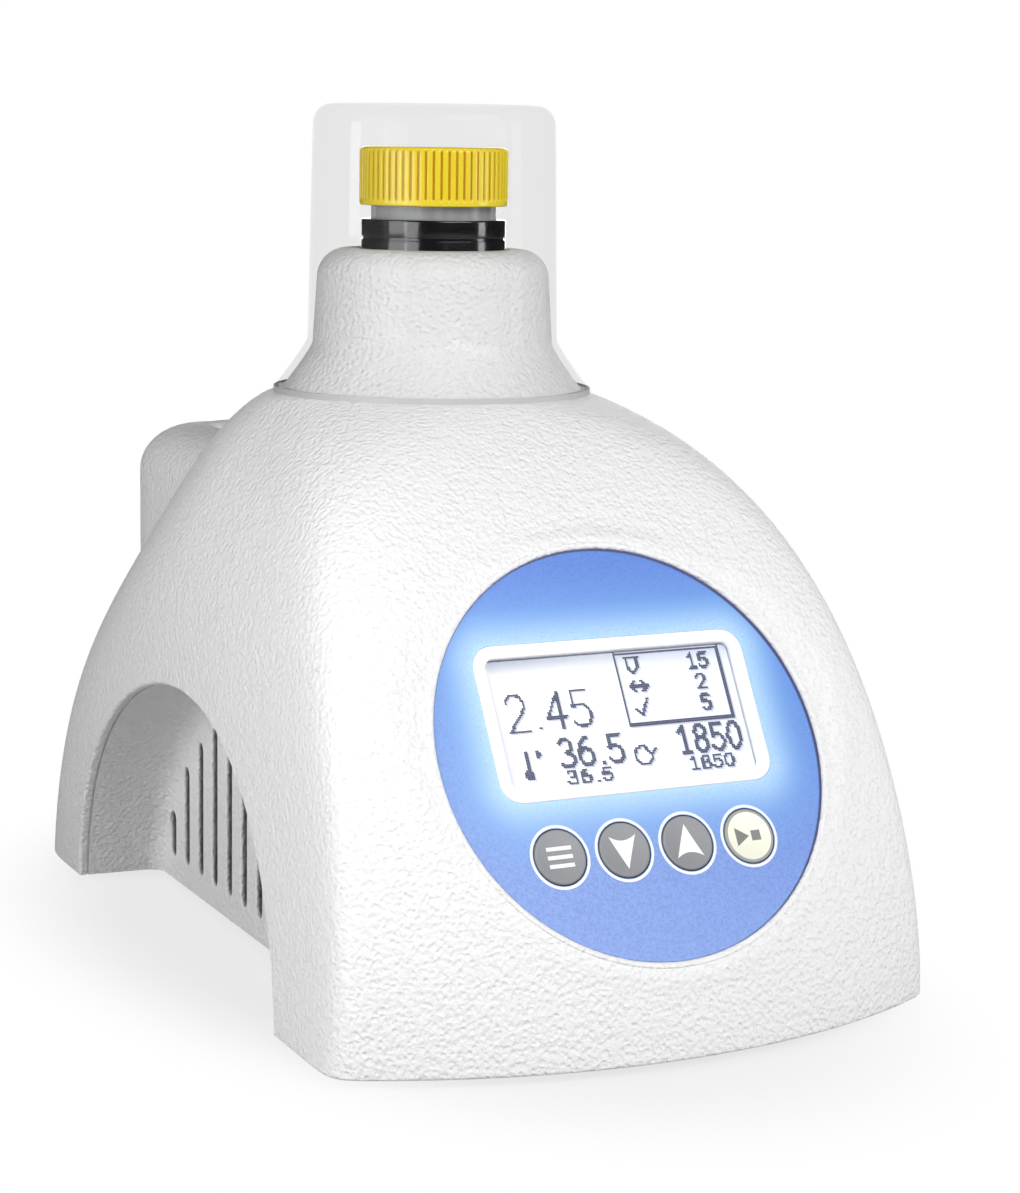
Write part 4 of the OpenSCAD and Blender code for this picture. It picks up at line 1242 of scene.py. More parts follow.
def arch_vents(form, side):
    """A row of upright slots whose tops follow an ellipse inside the arch."""

    def place(points):
        return on_arch(points[..., [2, 0, 1]], side, form.taper)

    parts = []
    for i in range(VENT_COUNT):
        y = VENT_MID + (i - (VENT_COUNT - 1) / 2) * VENT_PITCH
        top = ARCH_Z + VENT_TOPS[1] * math.sqrt(1 - ((y - VENT_MID) / VENT_TOPS[0]) ** 2)
        half_h = (top - VENT_BOTTOM) / 2
        centre = (y, VENT_BOTTOM + half_h - ARCH_Z)
        parts.append(flared_slot(VENT_W / 2, half_h, centre, form.wall_at, VENT_EDGE, place))
    return joined(parts)


def grille():
    """Upright slots that fill a circle in front of the fan."""
    parts, place = [], at_rear((0, FAN_Z))
    for i in np.arange(-3.5, 4):
        half_h = math.sqrt(GRILLE_R**2 - (i * GRILLE_PITCH) ** 2)
        centre = (i * GRILLE_PITCH, 0)
        parts.append(flared_slot(GRILLE_W / 2, half_h, centre, 0.0, GRILLE_EDGE, place))
    return parts


def fitting_hole(size, at):
    """A rectangular hole for a fitting in the back."""
    half = [extent / 2 + FITTING_PLAY for extent in size]
    return prism([rounded_outline(*half, 0.3)] * 2, [-WALL - CUT_PAST, 3], at_rear(at))


def neck_bore():
    """(radius, z) of the neck's bore, its mouth an arc that ends just above the neck's top."""
    wide, above = NECK_BORE_R + 1.7, NECK_TOP + 4
    mouth = arc((NECK_BORE_R + NECK_EDGE, NECK_TOP - NECK_EDGE), NECK_EDGE, 180, 96, 6)
    rest = [(wide, NECK_TOP + 0.06), (wide, above), (0, above)]
    return [(0, SEAM_Z), (NECK_BORE_R, SEAM_Z), *mouth, *rest]


def panel_recess():
    """(radius, height out) of the overlay's recess, its mouth an arc ending just past the lip."""
    radius, edge = PANEL_R + 0.03, LIP_INNER_EDGE
    wide = radius + edge + 0.8
    mouth = arc((radius + edge, LIP_UP - edge), edge, 180, 95, 8)
    rest = [(wide, LIP_UP + 0.08), (wide, 40), (0, 40)]
    return [(0, -OVERLAY_T), (radius, -OVERLAY_T), *mouth, *rest]


def housing_tools(form, edge):
    """Everything that is cut out of the housing's closed skin."""
    under = PANEL_FLOOR_OUT - 1
    window = rounded_outline(*WINDOW_HALF, 1.2)
    shapes = {f"pocket_{side}": arch_cutter(form, side, edge) for side in (1, -1)}
    shapes |= {f"vents_{side}": arch_vents(form, side) for side in (1, -1)}
    shapes["neck_hollow"] = cylinder(
        NECK_HOLLOW_R, SEAM_Z - NECK_HOLLOW_DEEP, NECK_TOP - NECK_ROOF, on_axis
    )
    shapes["neck_bore"] = lathe(neck_bore())
    shapes["panel_recess"] = lathe(panel_recess(), PANEL_POINTS, on_panel)
    shapes["window_hole"] = prism([window] * 2, [under, 2], at_panel((0, DISPLAY_UP)))
    shapes["key_holes"] = joined([
        cylinder(KEY_R + PLAY, under, 2, at_panel(key_place(i))) for i in range(4)
    ])
    shapes["rear_openings"] = joined([
        fitting_hole(SWITCH_SIZE, SWITCH_AT),
        fitting_hole(PORT_SIZE, PORT_AT),
        cylinder(INLET_R + FITTING_PLAY, -WALL - CUT_PAST, 3, at_rear(INLET_AT), 64),
        *grille(),
    ])
    return [mesh_object(name, shape) for name, shape in shapes.items()]


def lip_pad():
    """The disc that carries the panel's lip, with a round outer edge, as a turned solid."""
    out = PANEL_R + LIP_W
    floor = PANEL_FLOOR_OUT + 0.5
    edge = arc((out - LIP_EDGE, LIP_UP - LIP_EDGE), LIP_EDGE, 0, 90, 6)
    return lathe([(0, floor), (out, floor), *edge, (0, LIP_UP)], PANEL_POINTS, on_panel)


def cavity_keeps(form):
    """What stays solid inside: the pockets' walls, the panel's floor, its stands, the bosses."""
    front_x, back_x = BOSS_X
    front_y = form.front - form.curve + math.sqrt(form.curve**2 - front_x**2) - WALL - BOSS_INSET
    back_y = form.back - WALL - BOSS_INSET
    bosses = [(-front_x, -front_y), (front_x, -front_y), (-back_x, back_y), (back_x, back_y)]
    shapes = {f"pocket_wall_{side}": arch_pocket(form, side, WALL) for side in (1, -1)}
    shapes["panel_floor"] = cylinder(PANEL_R + LIP_W + 2, PANEL_FLOOR_OUT, 40, on_panel)
    shapes["panel_stands"] = joined([
        cylinder(STAND_R, STAND_LOW_OUT, PANEL_FLOOR_OUT + 1, at_panel(at), 24) for at in STANDS
    ])
    shapes["screw_bosses"] = joined([
        cylinder(BOSS_R, *BOSS_Z, off_axis(*at), 32) for at in bosses
    ])
    return [mesh_object(name, shape) for name, shape in shapes.items()]


def lid_profile():
    """(radius, z) from the top's centre down the outside, round the rim and up the inside."""
    waist = LID_BASE_Z + LID_FLARE_H
    bend, bend_z = LID_R - LID_ROUND, LID_TOP_Z - LID_ROUND
    crown = arc((bend, bend_z), LID_ROUND, 90, 0, 12)
    inner_crown = arc((bend, bend_z), LID_ROUND - LID_WALL, 0, 90, 9)
    z = np.concatenate([np.linspace(bend_z, waist, 10)[1:-1], np.linspace(waist, LID_BASE_Z, 16)])
    outer = np.stack([lid_outer(z), z], 1)
    outer[-1] -= (LID_EDGE, 0)
    outer = np.concatenate([outer[:-1], [outer[-1] + LID_EDGE], outer[-1:]])
    inside = np.stack([lid_outer(z) - LID_WALL, z], 1)[::-1]
    top, under = (0, LID_TOP_Z), (0, LID_TOP_Z - LID_WALL)
    return np.concatenate([[top], crown, outer, inside, inner_crown, [under]])


def ring_profile():
    """(radius, z) of the ring under the lid, a flat band with a step that centres the lid."""
    inner, step, outer = SEAM_R - 2.4, SEAM_R + 0.03, SEAM_R + 0.2
    low, top, ledge = SEAM_Z - 0.4, LID_BASE_Z, LID_BASE_Z + 0.25
    corners = [
        (inner, top), (inner, low), (outer, low), (outer, ledge), (step, ledge), (step, top),
    ]
    return rounded_profile(corners, [0.15, 0.15, 0.2, 0.08, 0.05, 0.05])


def cap_skin(ribs, depth):
    """The cap as one grid from the middle of its top to the middle of its roof's underside.

    Where the wall is ribbed the radius dips by depth in a smooth valley once in every turn / ribs,
    fading out at the rim and the top edge.
    """
    low, high, roof, sunk = CAP_RIM_Z, CAP_TOP_Z, CAP_TOP_Z - CAP_ROOF, CAP_TOP_Z - 0.35
    corners = [
        (0, sunk), (11.2, sunk), (12.2, high), (CAP_R, high), (CAP_R, low), (CAP_BORE_R, low),
        (CAP_BORE_R, roof), (0, roof),
    ]
    corner = rounded_profile(corners, [0, 0.3, 0.3, 1.3, 0.45, 0.4, 0.6, 0], 7)
    wall_high, wall_low = high - 1.3, low + 2.2
    wall = int(np.argmin(np.abs(corner[:, 1] - wall_high) + np.abs(corner[:, 0] - CAP_R)))
    plain, fading = np.linspace(wall_high, wall_low, 7)[1:-1], np.linspace(wall_low, low + 1.0, 8)
    z = np.concatenate([plain, fading, [low + 0.7]])
    profile = np.insert(corner, wall + 1, np.stack([np.full_like(z, CAP_R), z], 1), axis=0)
    phase = np.array([0.0, 0.2, 0.29, 0.36, 0.43, 0.5, 0.57, 0.64, 0.71, 0.8])
    turns = (np.arange(ribs)[:, None] + phase[None, :]).ravel()
    valley = 1 - smooth(0.06, 0.25, np.abs(turns % 1 - 0.5))
    r, z = profile[:, :1], profile[:, 1:]
    up, down = smooth(low + 1.0, low + 1.9, z), 1 - smooth(high - 1.1, high - 0.2, z)
    r = r - depth * (up * down * (r > CAP_R - 1.2)) * valley[None, :]
    return skin(on_axis(ring_points(r, z, turns * 2 * math.pi / ribs)))


def tube_skin():
    """The tube as one grid from its tip up the outside, over the rim and down the inside.

    Below the rim the radius rises by a ridge where the height, less one pitch per turn, is near a
    whole number of pitches.
    """
    base, rim, cone = TUBE_BOTTOM_Z, TUBE_RIM_Z, TUBE_BOTTOM_Z + 15
    inner_r, inner_base = TUBE_R - TUBE_WALL, base + TUBE_WALL
    corners = [
        (0, base), (4, base), (TUBE_R, cone), (TUBE_R, rim), (inner_r, rim), (inner_r, cone),
        (3.4, inner_base), (0, inner_base),
    ]
    profile = rounded_profile(corners, [0, 0.8, 3, 0.4, 0.4, 3, 0.8, 0])
    start = int(np.argmax((profile[:, 1] > rim - 1) & (profile[:, 0] > TUBE_R - 0.01)))
    z = np.linspace(rim - 9.6, rim - 2.2, 44)
    profile = np.insert(profile, start, np.stack([np.full_like(z, TUBE_R), z], 1), axis=0)
    a = np.linspace(0, 2 * math.pi, 120, endpoint=False)
    r, z = profile[:, :1], profile[:, 1:]
    lead = (z - rim) / THREAD_PITCH - a[None, :] / (2 * math.pi)
    ridge = 1 - smooth(0.1, 0.24, np.abs(lead % 1 - 0.5))
    up, down = smooth(rim - 9, rim - 8.2, z), 1 - smooth(rim - 3.8, rim - 3, z)
    r = r + THREAD_DEPTH * ridge * (up * down * (r > TUBE_R - 0.01))
    return skin(on_axis(ring_points(r, z, a)))


def holder_profile():
    """(radius, z) of the tube's holder: a hub on the shaft, a cup, a collar with a fine groove."""
    hub, base, top = HOLDER_LOW[2], TUBE_BOTTOM_Z, COLLAR_TOP_Z
    under, bore = base - 3, TUBE_R + PLAY
    groove, groove_top, groove_r = NECK_TOP + 2.2, NECK_TOP + 2.2 + 0.6, COLLAR_R - 0.4
    corners = [
        (0, hub + 6), (3.02, hub + 6), (3.02, hub), (8, hub), (8, under), (COLLAR_R, under),
        (COLLAR_R, groove), (groove_r, groove), (groove_r, groove_top), (COLLAR_R, groove_top),
        (COLLAR_R, top), (bore, top), (bore, base), (0, base),
    ]
    radii = [0, 0, 0.2, 0.4, 0.6, 0.6, 0.15, 0, 0, 0.15, 0.4, 0.4, 0.4, 0]
    return rounded_profile(corners, radii, 4)


def key_profile():
    """(radius, height) of a key: stem, flange, drum and a shallow dish in its face, whose depth
    falls off by the square of the radius."""
    stem, back = SWITCH_TOP_OUT + KEY_TRAVEL + 0.1, FLANGE_TOP_OUT - 0.8
    stem_r, flange_r, dish_r = 1.4, KEY_R + 0.7, KEY_R - 0.6
    corners = [
        (0, stem), (stem_r, stem), (stem_r, back), (flange_r, back), (flange_r, FLANGE_TOP_OUT),
        (KEY_R, FLANGE_TOP_OUT), (KEY_R, KEY_UP), (dish_r, KEY_UP),
    ]
    body = rounded_profile(corners, [0, 0.2, 0, 0.2, 0.2, 0, 0.35, 0], 5)
    r = np.linspace(KEY_R - 0.8, 0, 12)
    dish = np.stack([r, KEY_UP - 0.16 * (1 - (r / dish_r) ** 2)], 1)
    return np.concatenate([body, dish])


def bezel_skin():
    """The display's frame: a closed section with two round upper edges carried round between two
    outlines."""

    def row(half, corner, draw, height):
        return at_height(rounded_outline(half[0] + draw, half[1] + draw, corner + draw), height)

    inner_edge, outer_edge = 0.45, 0.35
    rows = [row(WINDOW_HALF, WINDOW_CORNER, 0, -OVERLAY_T)]
    for draw, rise in edge_turn(inner_edge, 6):
        rows.append(row(WINDOW_HALF, WINDOW_CORNER, draw, KEY_UP - inner_edge + rise))
    for draw, rise in reversed(edge_turn(outer_edge, 6)):
        rows.append(row(BEZEL_HALF, BEZEL_CORNER, -draw, KEY_UP - outer_edge + rise))
    rows.append(row(BEZEL_HALF, BEZEL_CORNER, 0, -OVERLAY_T))
    return skin(at_panel((0, DISPLAY_UP))(np.stack(rows)), loop_rows=True)


# ---- what the display shows ----------------------------------------------------------------------

DOT = 0.46
DOT_COLS, DOT_ROWS = 128, 64
DOT_FILL = 0.94
POINT_NARROW = (0.5, 0.55)


def stroke_arc(cx, cy, rx, ry, start, end):
    """Points on an ellipse from angle start to angle end, in degrees."""
    a = np.radians(np.linspace(start, end, 18))
    return np.stack([cx + rx * np.cos(a), cy + ry * np.sin(a)], 1)


def line(*points):
    """A path of straight pieces."""
    return np.array(points, float)


# Strokes of each figure in a box one wide and one high
FIGURES = {
    "0": [stroke_arc(0.5, 0.5, 0.5, 0.5, 0, 360)],
    "1": [line((0.15, 0.78), (0.55, 1), (0.55, 0)), line((0.2, 0), (0.9, 0))],
    "2": [stroke_arc(0.48, 0.72, 0.46, 0.28, 165, -35), line((0.86, 0.56), (0, 0), (1, 0))],
    "3": [
        stroke_arc(0.45, 0.75, 0.45, 0.25, 150, -90),
        stroke_arc(0.45, 0.26, 0.52, 0.26, 90, -150),
    ],
    "4": [line((0.72, 0), (0.72, 1), (0, 0.3), (1, 0.3))],
    "5": [line((0.92, 1), (0.12, 1), (0.08, 0.55)), stroke_arc(0.45, 0.31, 0.52, 0.31, 130, -150)],
    "6": [stroke_arc(0.5, 0.3, 0.48, 0.3, 0, 360), stroke_arc(0.75, 0.4, 0.73, 0.6, 180, 95)],
    "8": [stroke_arc(0.5, 0.75, 0.4, 0.25, 0, 360), stroke_arc(0.5, 0.25, 0.5, 0.25, 0, 360)],
    ".": [line((0.42, 0.03), (0.58, 0.03))],
}


class DotScreen:
    """The display's dots: a stroke turns on every dot whose centre is near enough to it."""

    def __init__(self):
        self.u = (np.arange(DOT_COLS) + 0.5 - DOT_COLS / 2)[None, :] * DOT
        self.v = (np.arange(DOT_ROWS) + 0.5 - DOT_ROWS / 2)[:, None] * DOT + DISPLAY_UP
        self.lit = np.zeros((DOT_ROWS, DOT_COLS), bool)

    def stroke(self, points, width):
        """Lights the dots within half a width of the nearest point of each straight piece."""
        for start, end in zip(points[:-1], points[1:]):
            run = end - start
            du, dv = self.u - start[0], self.v - start[1]
            along = np.clip((du * run[0] + dv * run[1]) / max(run @ run, 1e-9), 0, 1)
            self.lit |= np.hypot(du - along * run[0], dv - along * run[1]) < width / 2

    def write(self, text, u, v, width, height, advance, weight):
        """Writes figures from (u, v), the lower left corner, each in a box of width by height."""
        for figure in text:
            wide, step = POINT_NARROW if figure == "." else (1, 1)
            for points in FIGURES[figure]:
                self.stroke(points * np.array([width * wide, height]) + (u, v), weight)
            u += advance * step

    def dots(self, low, high, shift=(0.0, 0.0)):
        """A thin square box for every lit dot, all as one mesh."""
        row, col = np.nonzero(self.lit)
        centre = np.stack([self.u[0, col] + shift[0], self.v[row, 0] + shift[1]], 1)
        corners = np.array([(-1, -1), (1, -1), (1, 1), (-1, 1)]) * (DOT * DOT_FILL / 2)
        flat = centre[:, None, :] + corners[None]
        levels = [np.full((len(centre), 4, 1), height) for height in (low, high)]
        points = np.concatenate([np.concatenate([flat, z], 2) for z in levels], 1).reshape(-1, 3)
        box = np.array([
            (0, 3, 2, 1), (4, 5, 6, 7), (0, 1, 5, 4), (1, 2, 6, 5), (2, 3, 7, 6), (3, 0, 4, 7),
        ])
        quads = (box[None] + np.arange(len(centre))[:, None, None] * 8).reshape(-1, 4)
        return on_panel(points), quads


def display_figures():
    """Readings, set points, a timer box and small signs, laid out as on the instrument."""
    screen = DotScreen()
    thin, bold = DOT * 1.5, DOT * 2.0
    screen.write("2.45", -27.6, 6.9, 4.6, 8.2, 6.2, thin)
    screen.write("36.5", -17.1, -1.9, 3.4, 6.2, 4.7, bold)
    screen.write("36.5", -16.6, -5.7, 2.3, 2.9, 3.4, thin)
    screen.write("1850", 12.6, -1.2, 3.1, 6.0, 4.3, bold)
    screen.write("1850", 14.2, -5.2, 2.1, 2.9, 3.0, thin)
    screen.stroke(line((1.6, 22.6), (1.6, 5.9), (28.2, 5.9), (28.2, 22.6)), DOT * 1.9)
    screen.stroke(line((1.6, 22.4), (28.2, 22.4)), DOT * 1.1)
    screen.write("15", 19.8, 18.0, 2.2, 3.3, 3.0, thin)
    screen.write("2", 21.0, 13.2, 2.2, 3.3, 3.0, bold * 0.8)
    screen.write("5", 21.0, 8.2, 2.2, 3.3, 3.0, bold * 0.8)
    flask = line((4.4, 21.4), (4.4, 19.2), (5.6, 17.8), (6.8, 19.2), (6.8, 21.4))
    screen.stroke(flask, thin)
    screen.stroke(line((3.9, 21.4), (7.3, 21.4)), thin)
    screen.stroke(line((3.9, 14.8), (8.3, 14.8)), thin)
    for tip, back in ((3.9, 5.2), (8.3, 7.0)):
        screen.stroke(line((back, 13.6), (tip, 14.8), (back, 16.0)), thin)
    screen.stroke(line((4.2, 9.6), (5.4, 8.2), (7.4, 12.0)), thin)
    screen.stroke(line((-25.4, -2.0), (-25.4, 2.2)), DOT * 1.6)
    screen.stroke(stroke_arc(-25.4, -3.0, 0.7, 0.7, 0, 360), DOT * 2.4)
    screen.stroke(stroke_arc(-22.4, 1.5, 0.55, 0.55, 0, 360), DOT * 1.3)
    screen.stroke(stroke_arc(3.2, -0.9, 2.1, 2.1, 60, 360), thin)
    screen.stroke(line((6.6, 0.4), (5.3, -1.0), (4.0, 0.4)), thin)
    return screen


# ---- the pieces ----------------------------------------------------------------------------------


def build_housing(settings):
    """The closed skin with the lip joined on, less the cavity and every opening."""
    form = HousingForm(settings)
    edge = settings.edge_round / MM
    shell = mesh_object("housing_shell", housing_skin(form, edge))
    carve(shell, [mesh_object("lip_pad", lip_pad())], "UNION")
    cavity = mesh_object("cavity", cavity_skin(form))
    carve(cavity, cavity_keeps(form))
    carve(shell, [cavity, *housing_tools(form, edge)])
    white = housing_white(settings)
    finish_piece(shell, "base", ["housing"], white, sharp=30)


def mark_outer(lid):
    """Gives each point the attribute "outer", 1 outside half a wall's depth and 0 inside it."""
    flat = np.empty(len(lid.data.vertices) * 3, np.float32)
    lid.data.vertices.foreach_get("co", flat)
    x, y, z = flat.reshape(-1, 3).T / MM
    out = np.hypot(x, y - NECK_Y)
    side = out > lid_outer(z) - LID_WALL / 2
    roof = z > LID_TOP_Z - LID_WALL / 2
    past, above = out - LID_R + LID_ROUND, z - LID_TOP_Z + LID_ROUND
    corner = np.hypot(past, above) > LID_ROUND - LID_WALL / 2
    at_corner = (past > 0) & (above > 0)
    outer = np.where(at_corner, corner, side | roof).astype(np.float32)
    lid.data.attributes.new("outer", "FLOAT", "POINT").data.foreach_set("value", outer)


def build_lid(settings):
    """The clear lid, and the ring that it stands on."""
    clear = clear_plastic("lid_clear", settings.veil)
    shell = lathe(lid_profile(), LID_POINTS)
    mark_outer(add_piece("lid_shell", shell, "lid", ["clear_lid"], clear))
    rubber = plastic("gasket_grey", settings.gasket, 0.5, 1200)
    ring = lathe(ring_profile(), LID_POINTS)
    add_piece("lid_ring", ring, "base", ["lid_gasket"], rubber)


def build_tube(settings):
    """The ribbed cap with its vents, the threaded tube, and the holder with its light slot."""
    around = np.arange(6) * math.pi / 3
    places = [off_axis(CAP_VENT_RING * math.cos(a), CAP_VENT_RING * math.sin(a)) for a in around]
    low, high = CAP_TOP_Z - 3, CAP_TOP_Z + 1
    holes = joined([cylinder(CAP_VENT_R, low, high, place, 32) for place in places])
    cap = mesh_object("cap_ribbed", cap_skin(settings.ribs, settings.rib_depth / MM))
    carve(cap, [mesh_object("cap_vents", holes)])
    finish_piece(cap, "cap", ["tube_cap"], cap_yellow(settings), sharp=40)
    tube = translucent_tube()
    add_piece("tube_threaded", tube_skin(), "rotor", ["tube"], tube, sharp=40)
    slot = prism(
        [rounded_outline(*LIGHT_SLOT_HALF, 1)] * 2, [-2 * TUBE_R, 2 * TUBE_R],
        lambda points: on_axis(points[..., [2, 0, 1]] + (0, 0, LIGHT_SLOT_Z)),
    )
    holder = mesh_object("holder_turned", lathe(holder_profile(), 160))
    carve(holder, [mesh_object("light_slot", slot)])
    black = plastic(
        "holder_black", settings.holder, 0.16, 1600, 0.004, 0.1,
        Coat_Weight=0.6, Coat_Roughness=0.06,
    )
    finish_piece(holder, "rotor", ["tube_holder"], black)


def build_panel(settings):
    """The display's frame, its dots with their faint painted shadows on the ground behind, and the
    keys.
    """
    # The frame's faint emission is a painted glow; the frame is no lamp.
    white = plastic(
        "bezel_white", srgb(253, 253, 254), 0.3, 1800, 0.006, 0.02,
        Emission_Color=(1, 1, 1), Emission_Strength=0.1,
    )
    add_piece("bezel_frame", bezel_skin(), "base", ["display_bezel"], white)
    screen = display_figures()
    ink = plastic("display_ink", settings.display_ink, 0.4, 900)
    shadow = plastic("display_shadow", srgb(196, 202, 218), 0.4, 900)
    dots = screen.dots(GLASS_OUT + 0.01, GLASS_OUT + 0.03)
    # Painted shadows of the dots: pale copies set off to the lower right, just above the ground.
    dot_shadows = screen.dots(GLASS_OUT + 0.002, GLASS_OUT + 0.006, (0.35, -0.35))
    add_piece("display_dots", dots, "base", [], ink)
    add_piece("display_dot_shadows", dot_shadows, "base", [], shadow)
    pale, dim = srgb(250, 252, 255), srgb(120, 122, 120)
    keys = [
        ("key_menu", "key_grey", settings.key_grey, bars_mark, pale),
        ("key_down", "key_grey", settings.key_grey, arrow_mark(-1), pale),
        ("key_up", "key_grey", settings.key_grey, arrow_mark(1), pale),
        ("key_start", "key_cream", settings.key_cream, start_mark, dim),
    ]
    for number, (node, slot, rgb, mark, print_rgb) in enumerate(keys):
        drum = lathe(key_profile(), 96, at_panel(key_place(number)))
        face = key_face(f"{node}_face", number, rgb, mark, print_rgb)
        add_piece(f"{node}_cap", drum, node, [node], face)


def dress_inside(panel):
    """Materials of the pieces that keep the CAD's own shape."""
    wear = [
        (plastic("base_grey", srgb(74, 76, 78), 0.5, 1100, 0.03), ["base_plate"]),
        (plastic("rubber_black", srgb(30, 30, 31), 0.75, 700, 0.03, 0.12), ["rubber_feet"]),
        (overlay_blue(panel), ["front_overlay"]),
        (clear_plastic("window_clear", 0.01, 0.002, 0.4), ["display_window"]),
        (display_ground(panel), ["display_module"]),
        (circuit_board(), ["display_board", "control_board"]),
        (ceramic(), ["thermoelectric_module"]),
        (filter_white(), ["vent_filter"]),
        (rocker_black(), ["power_rocker"]),
        (plastic("moulded_black", srgb(34, 34, 36), 0.4, 1600, 0.012, 0.1), [
            "key_switches", "fan_frame", "fan_impeller", "light_emitter", "light_detector",
            "insulation_sleeve", "motor_end_cap", "power_inlet", "switch_frame",
        ]),
        (metal("brushed_aluminium", srgb(196, 198, 202), 0.34, (1, 0.05, 1)), [
            "chassis_plate", "chassis_posts", "heat_block", "heat_sink",
        ]),
        (metal("drawn_steel", srgb(158, 160, 165), 0.28, (1, 1, 0.06)), [
            "motor_can", "motor_rotor",
        ]),
        (metal("ground_steel", srgb(196, 198, 202), 0.22, (0.1, 0.1, 1)), [
            "motor_shaft", "shaft_bearing", "temperature_sensor", "inlet_nut", "data_port",
        ]),
        (metal("bright_zinc", srgb(190, 192, 196), 0.25), [
            "base_screws", "board_screws", "control_screws", "chassis_screws", "fan_screws",
        ]),
    ]
    for material, nodes in wear:
        for node in nodes:
            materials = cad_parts[node].data.materials
            materials.clear()
            materials.append(material)


# ---- the stage -----------------------------------------------------------------------------------

# The camera's place in millimetres, its azimuth, elevation and roll in degrees, and its lens
CAMERA_AT = (-326.294, -640.543, 193.654)
CAMERA_FROM = (-28.363, 8.63)
CAMERA_ROLL = math.radians(0.812)
CAMERA_LENS = 90.55
SENSOR_W = 36.0
CLIP_END = 20.0

# Half the floor's width in millimetres, and how far it keeps the shadow, in metres
FLOOR_HALF = 4e3
SHADOW_REACH = (0.072, 0.125)


def standing(right, up, back, place):
    """The matrix of an object whose own axes are right, up and back."""
    pose = np.eye(4)
    pose[:3] = np.column_stack([right, up, back, place])
    return Matrix(pose.tolist())


def outward(azimuth, elevation):
    """The unit vector towards a direction in degrees, and the level one to its right.

    Azimuth 0 is the front and 90 the right.
    """
    a, e = math.radians(azimuth), math.radians(elevation)
    back = np.array([math.sin(a) * math.cos(e), -math.cos(a) * math.cos(e), math.sin(e)])
    return back, np.array([math.cos(a), math.sin(a), 0])


def add_camera():
    """A camera at the front left that looks a little down, rolled about its view."""
    back, level = outward(*CAMERA_FROM)
    upright = np.cross(back, level)
    right = level * math.cos(CAMERA_ROLL) + upright * math.sin(CAMERA_ROLL)
    up = upright * math.cos(CAMERA_ROLL) - level * math.sin(CAMERA_ROLL)
    data = bpy.data.cameras.new("camera")
    data.lens = CAMERA_LENS
    data.sensor_width = SENSOR_W
    data.clip_end = CLIP_END
    camera = bpy.data.objects.new("camera", data)
    camera.matrix_world = standing(right, up, back, np.array(CAMERA_AT) * MM)
    bpy.context.scene.collection.objects.link(camera)
    bpy.context.scene.camera = camera


def add_light(name, azimuth, elevation, distance, size, watts, aim=(0, 0, 0.1)):
    """A rectangular white light at a direction and distance from aim, looking at it."""
    back, right = outward(azimuth, elevation)
    data = bpy.data.lights.new(name, "AREA")
    data.shape = "RECTANGLE"
    data.size, data.size_y = size
    data.energy = watts
    light = bpy.data.objects.new(name, data)
    place = np.array(aim) + back * distance
    light.matrix_world = standing(right, np.cross(back, right), back, place)
    bpy.context.scene.collection.objects.link(light)
    return light


def add_floor():
    """A pale bench that keeps the shadow near the instrument and fades to plain white past it."""
    corners = np.array([(-1, -1, 0), (1, -1, 0), (1, 1, 0), (-1, 1, 0)]) * FLOOR_HALF
    floor = mesh_object("floor", (corners, np.array([(0, 1, 2, 3)])))
    r = Recipe("floor_white")
    x, y, _ = r.parts(r.object_place())
    across, along = x / SHADOW_REACH[0], y / SHADOW_REACH[1]
    away = (across * across + along * along) ** 0.5
    seen = r.wire(r.node("ShaderNodeLightPath"), "Is Camera Ray")
    pale = r.node("ShaderNodeBsdfDiffuse", Color=(0.5, 0.5, 0.5))
    white = r.node("ShaderNodeEmission", Color=(1, 1, 1), Strength=1.0)
    plain = (r.step(0.9, 1.5, away) * 0.24 + 0.76) * seen
    floor.data.materials.append(r.show(r.blend(plain, pale, white)))
    return floor


def add_world():
    """Plain white where it is seen directly or through a clear piece; a faint light elsewhere."""
    r = Recipe("studio", world=True)
    path = r.node("ShaderNodeLightPath")
    seen = r.high(r.wire(path, "Is Camera Ray"), r.wire(path, "Is Transmission Ray"))
    soft = r.node("ShaderNodeBackground", Color=(0.96, 0.98, 1), Strength=0.03)
    plain = r.node("ShaderNodeBackground", Color=(1, 1, 1), Strength=1.0)
    bpy.context.scene.world = r.show(r.blend(seen, soft, plain))


def build_stage():
    """The camera, the world, the lights and the bench."""
    add_camera()
    add_world()
    lights = [
        add_light("key", 12, 35, 1.3, (1.1, 0.8), 14.0),
        add_light("side", -86, 13, 1.3, (0.75, 0.8), 6.5),
        add_light("fill", 56, 4, 1.3, (0.3, 0.6), 3.2),
        add_light("back", 150, 6, 1.4, (0.7, 0.5), 3.6),
        add_light("edge", -75, 12, 0.22, (0.12, 0.16), 0.25, (-0.06, -0.09, 0.125)),
    ]
    add_floor()
    bpy.context.scene.view_settings.view_transform = "Standard"


# ---- operators -----------------------------------------------------------------------------------


class BIOREACTOR_OT_housing(bpy.types.Operator):
    """Build the moulded housing with its arches, vents, neck and panel recess"""

    bl_idname = "bioreactor.housing"
    bl_label = "Housing"

    def execute(self, context):
        build_housing(context.scene.bioreactor_housing)
        return {"FINISHED"}


class BIOREACTOR_OT_lid(bpy.types.Operator):
    """Build the clear lid and the ring it stands on"""

    bl_idname = "bioreactor.lid"
    bl_label = "Lid"

    def execute(self, context):
        build_lid(context.scene.bioreactor_lid)
        return {"FINISHED"}


class BIOREACTOR_OT_tube(bpy.types.Operator):
    """Build the tube, its ribbed cap and its spinning holder"""

    bl_idname = "bioreactor.tube"
    bl_label = "Tube and holder"

    def execute(self, context):
        build_tube(context.scene.bioreactor_tube)
        return {"FINISHED"}


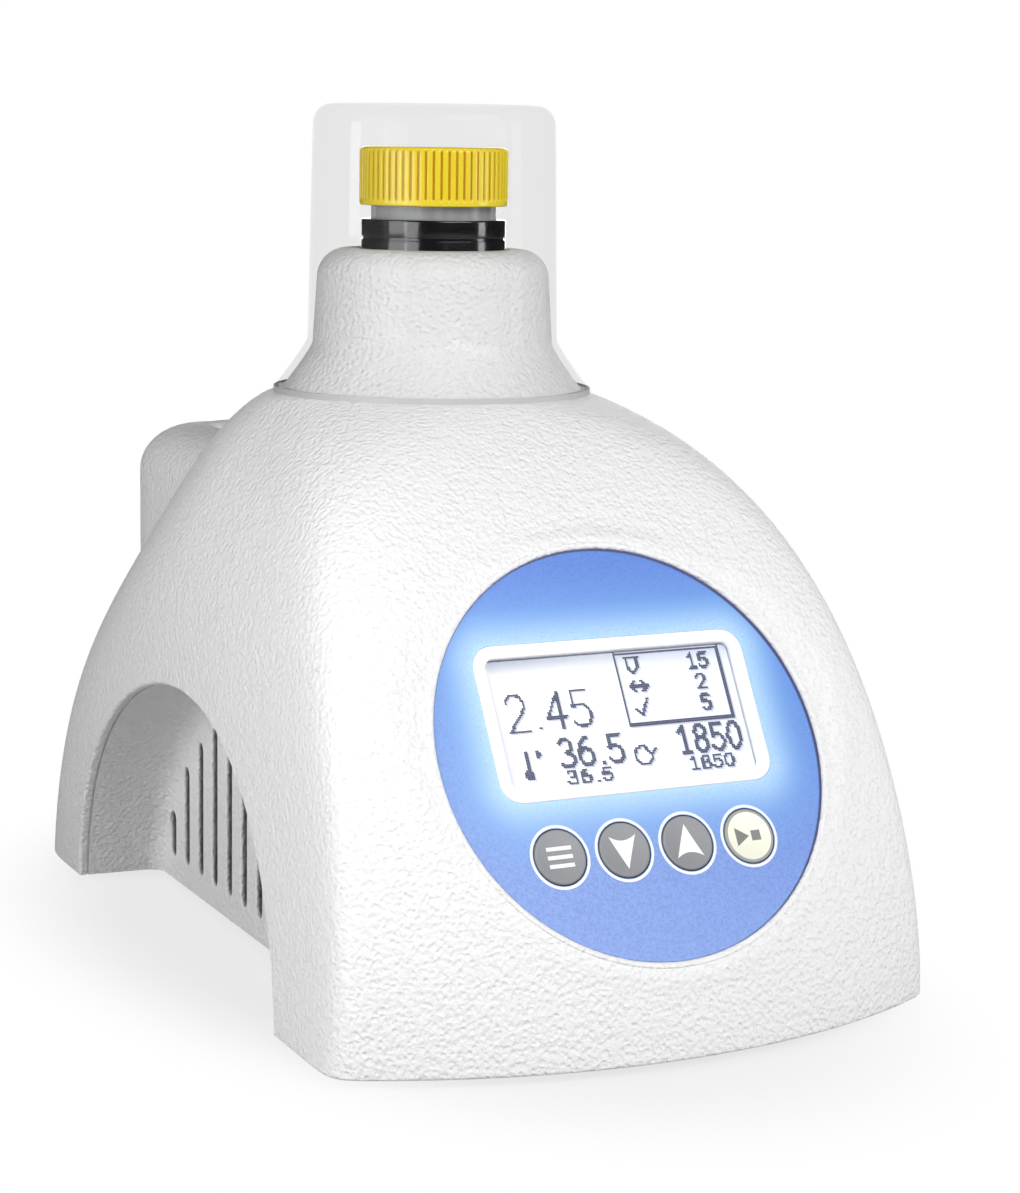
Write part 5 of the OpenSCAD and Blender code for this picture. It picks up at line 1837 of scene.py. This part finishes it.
class BIOREACTOR_OT_panel(bpy.types.Operator):
    """Build the front panel: frame, display figures and keys"""

    bl_idname = "bioreactor.panel"
    bl_label = "Front panel"

    def execute(self, context):
        build_panel(context.scene.bioreactor_panel)
        return {"FINISHED"}


class BIOREACTOR_OT_inside(bpy.types.Operator):
    """Give every piece that keeps its modelled shape a material"""

    bl_idname = "bioreactor.inside"
    bl_label = "Fittings and inside"

    def execute(self, context):
        dress_inside(context.scene.bioreactor_panel)
        return {"FINISHED"}


class BIOREACTOR_OT_stage(bpy.types.Operator):
    """Set the camera, the lights, the bench and the background"""

    bl_idname = "bioreactor.stage"
    bl_label = "Stage"

    def execute(self, context):
        build_stage()
        return {"FINISHED"}


OPERATORS = (
    BIOREACTOR_OT_housing,
    BIOREACTOR_OT_lid,
    BIOREACTOR_OT_tube,
    BIOREACTOR_OT_panel,
    BIOREACTOR_OT_inside,
    BIOREACTOR_OT_stage,
)
SETTINGS = {
    "bioreactor_housing": HousingSettings,
    "bioreactor_lid": LidSettings,
    "bioreactor_tube": TubeSettings,
    "bioreactor_panel": PanelSettings,
}


class BIOREACTOR_PT_sidebar(bpy.types.Panel):
    """Lists the pieces with their sizes and colours"""

    bl_idname = "BIOREACTOR_PT_sidebar"
    bl_label = "Bench bioreactor"
    bl_space_type = "VIEW_3D"
    bl_region_type = "UI"
    bl_category = "Bioreactor"

    def draw(self, context):
        for operator in OPERATORS:
            self.layout.operator(operator.bl_idname)
        for name, group in SETTINGS.items():
            column = self.layout.box().column()
            for key in group.__annotations__:
                column.prop(getattr(context.scene, name), key)


def register():
    """Registers the settings, on the scene, then the operators and their panel."""
    for group in SETTINGS.values():
        bpy.utils.register_class(group)
    for name, group in SETTINGS.items():
        setattr(bpy.types.Scene, name, PointerProperty(type=group))
    for operator in OPERATORS:
        bpy.utils.register_class(operator)
    bpy.utils.register_class(BIOREACTOR_PT_sidebar)


def unregister():
    """Undoes register."""
    bpy.utils.unregister_class(BIOREACTOR_PT_sidebar)
    for operator in reversed(OPERATORS):
        bpy.utils.unregister_class(operator)
    for name in SETTINGS:
        delattr(bpy.types.Scene, name)
    for group in reversed(SETTINGS.values()):
        bpy.utils.unregister_class(group)


def main():
    """Makes every piece in turn."""
    register()
    for operator in OPERATORS:
        group, name = operator.bl_idname.split(".")
        getattr(getattr(bpy.ops, group), name)()


if __name__ == "__main__":
    main()
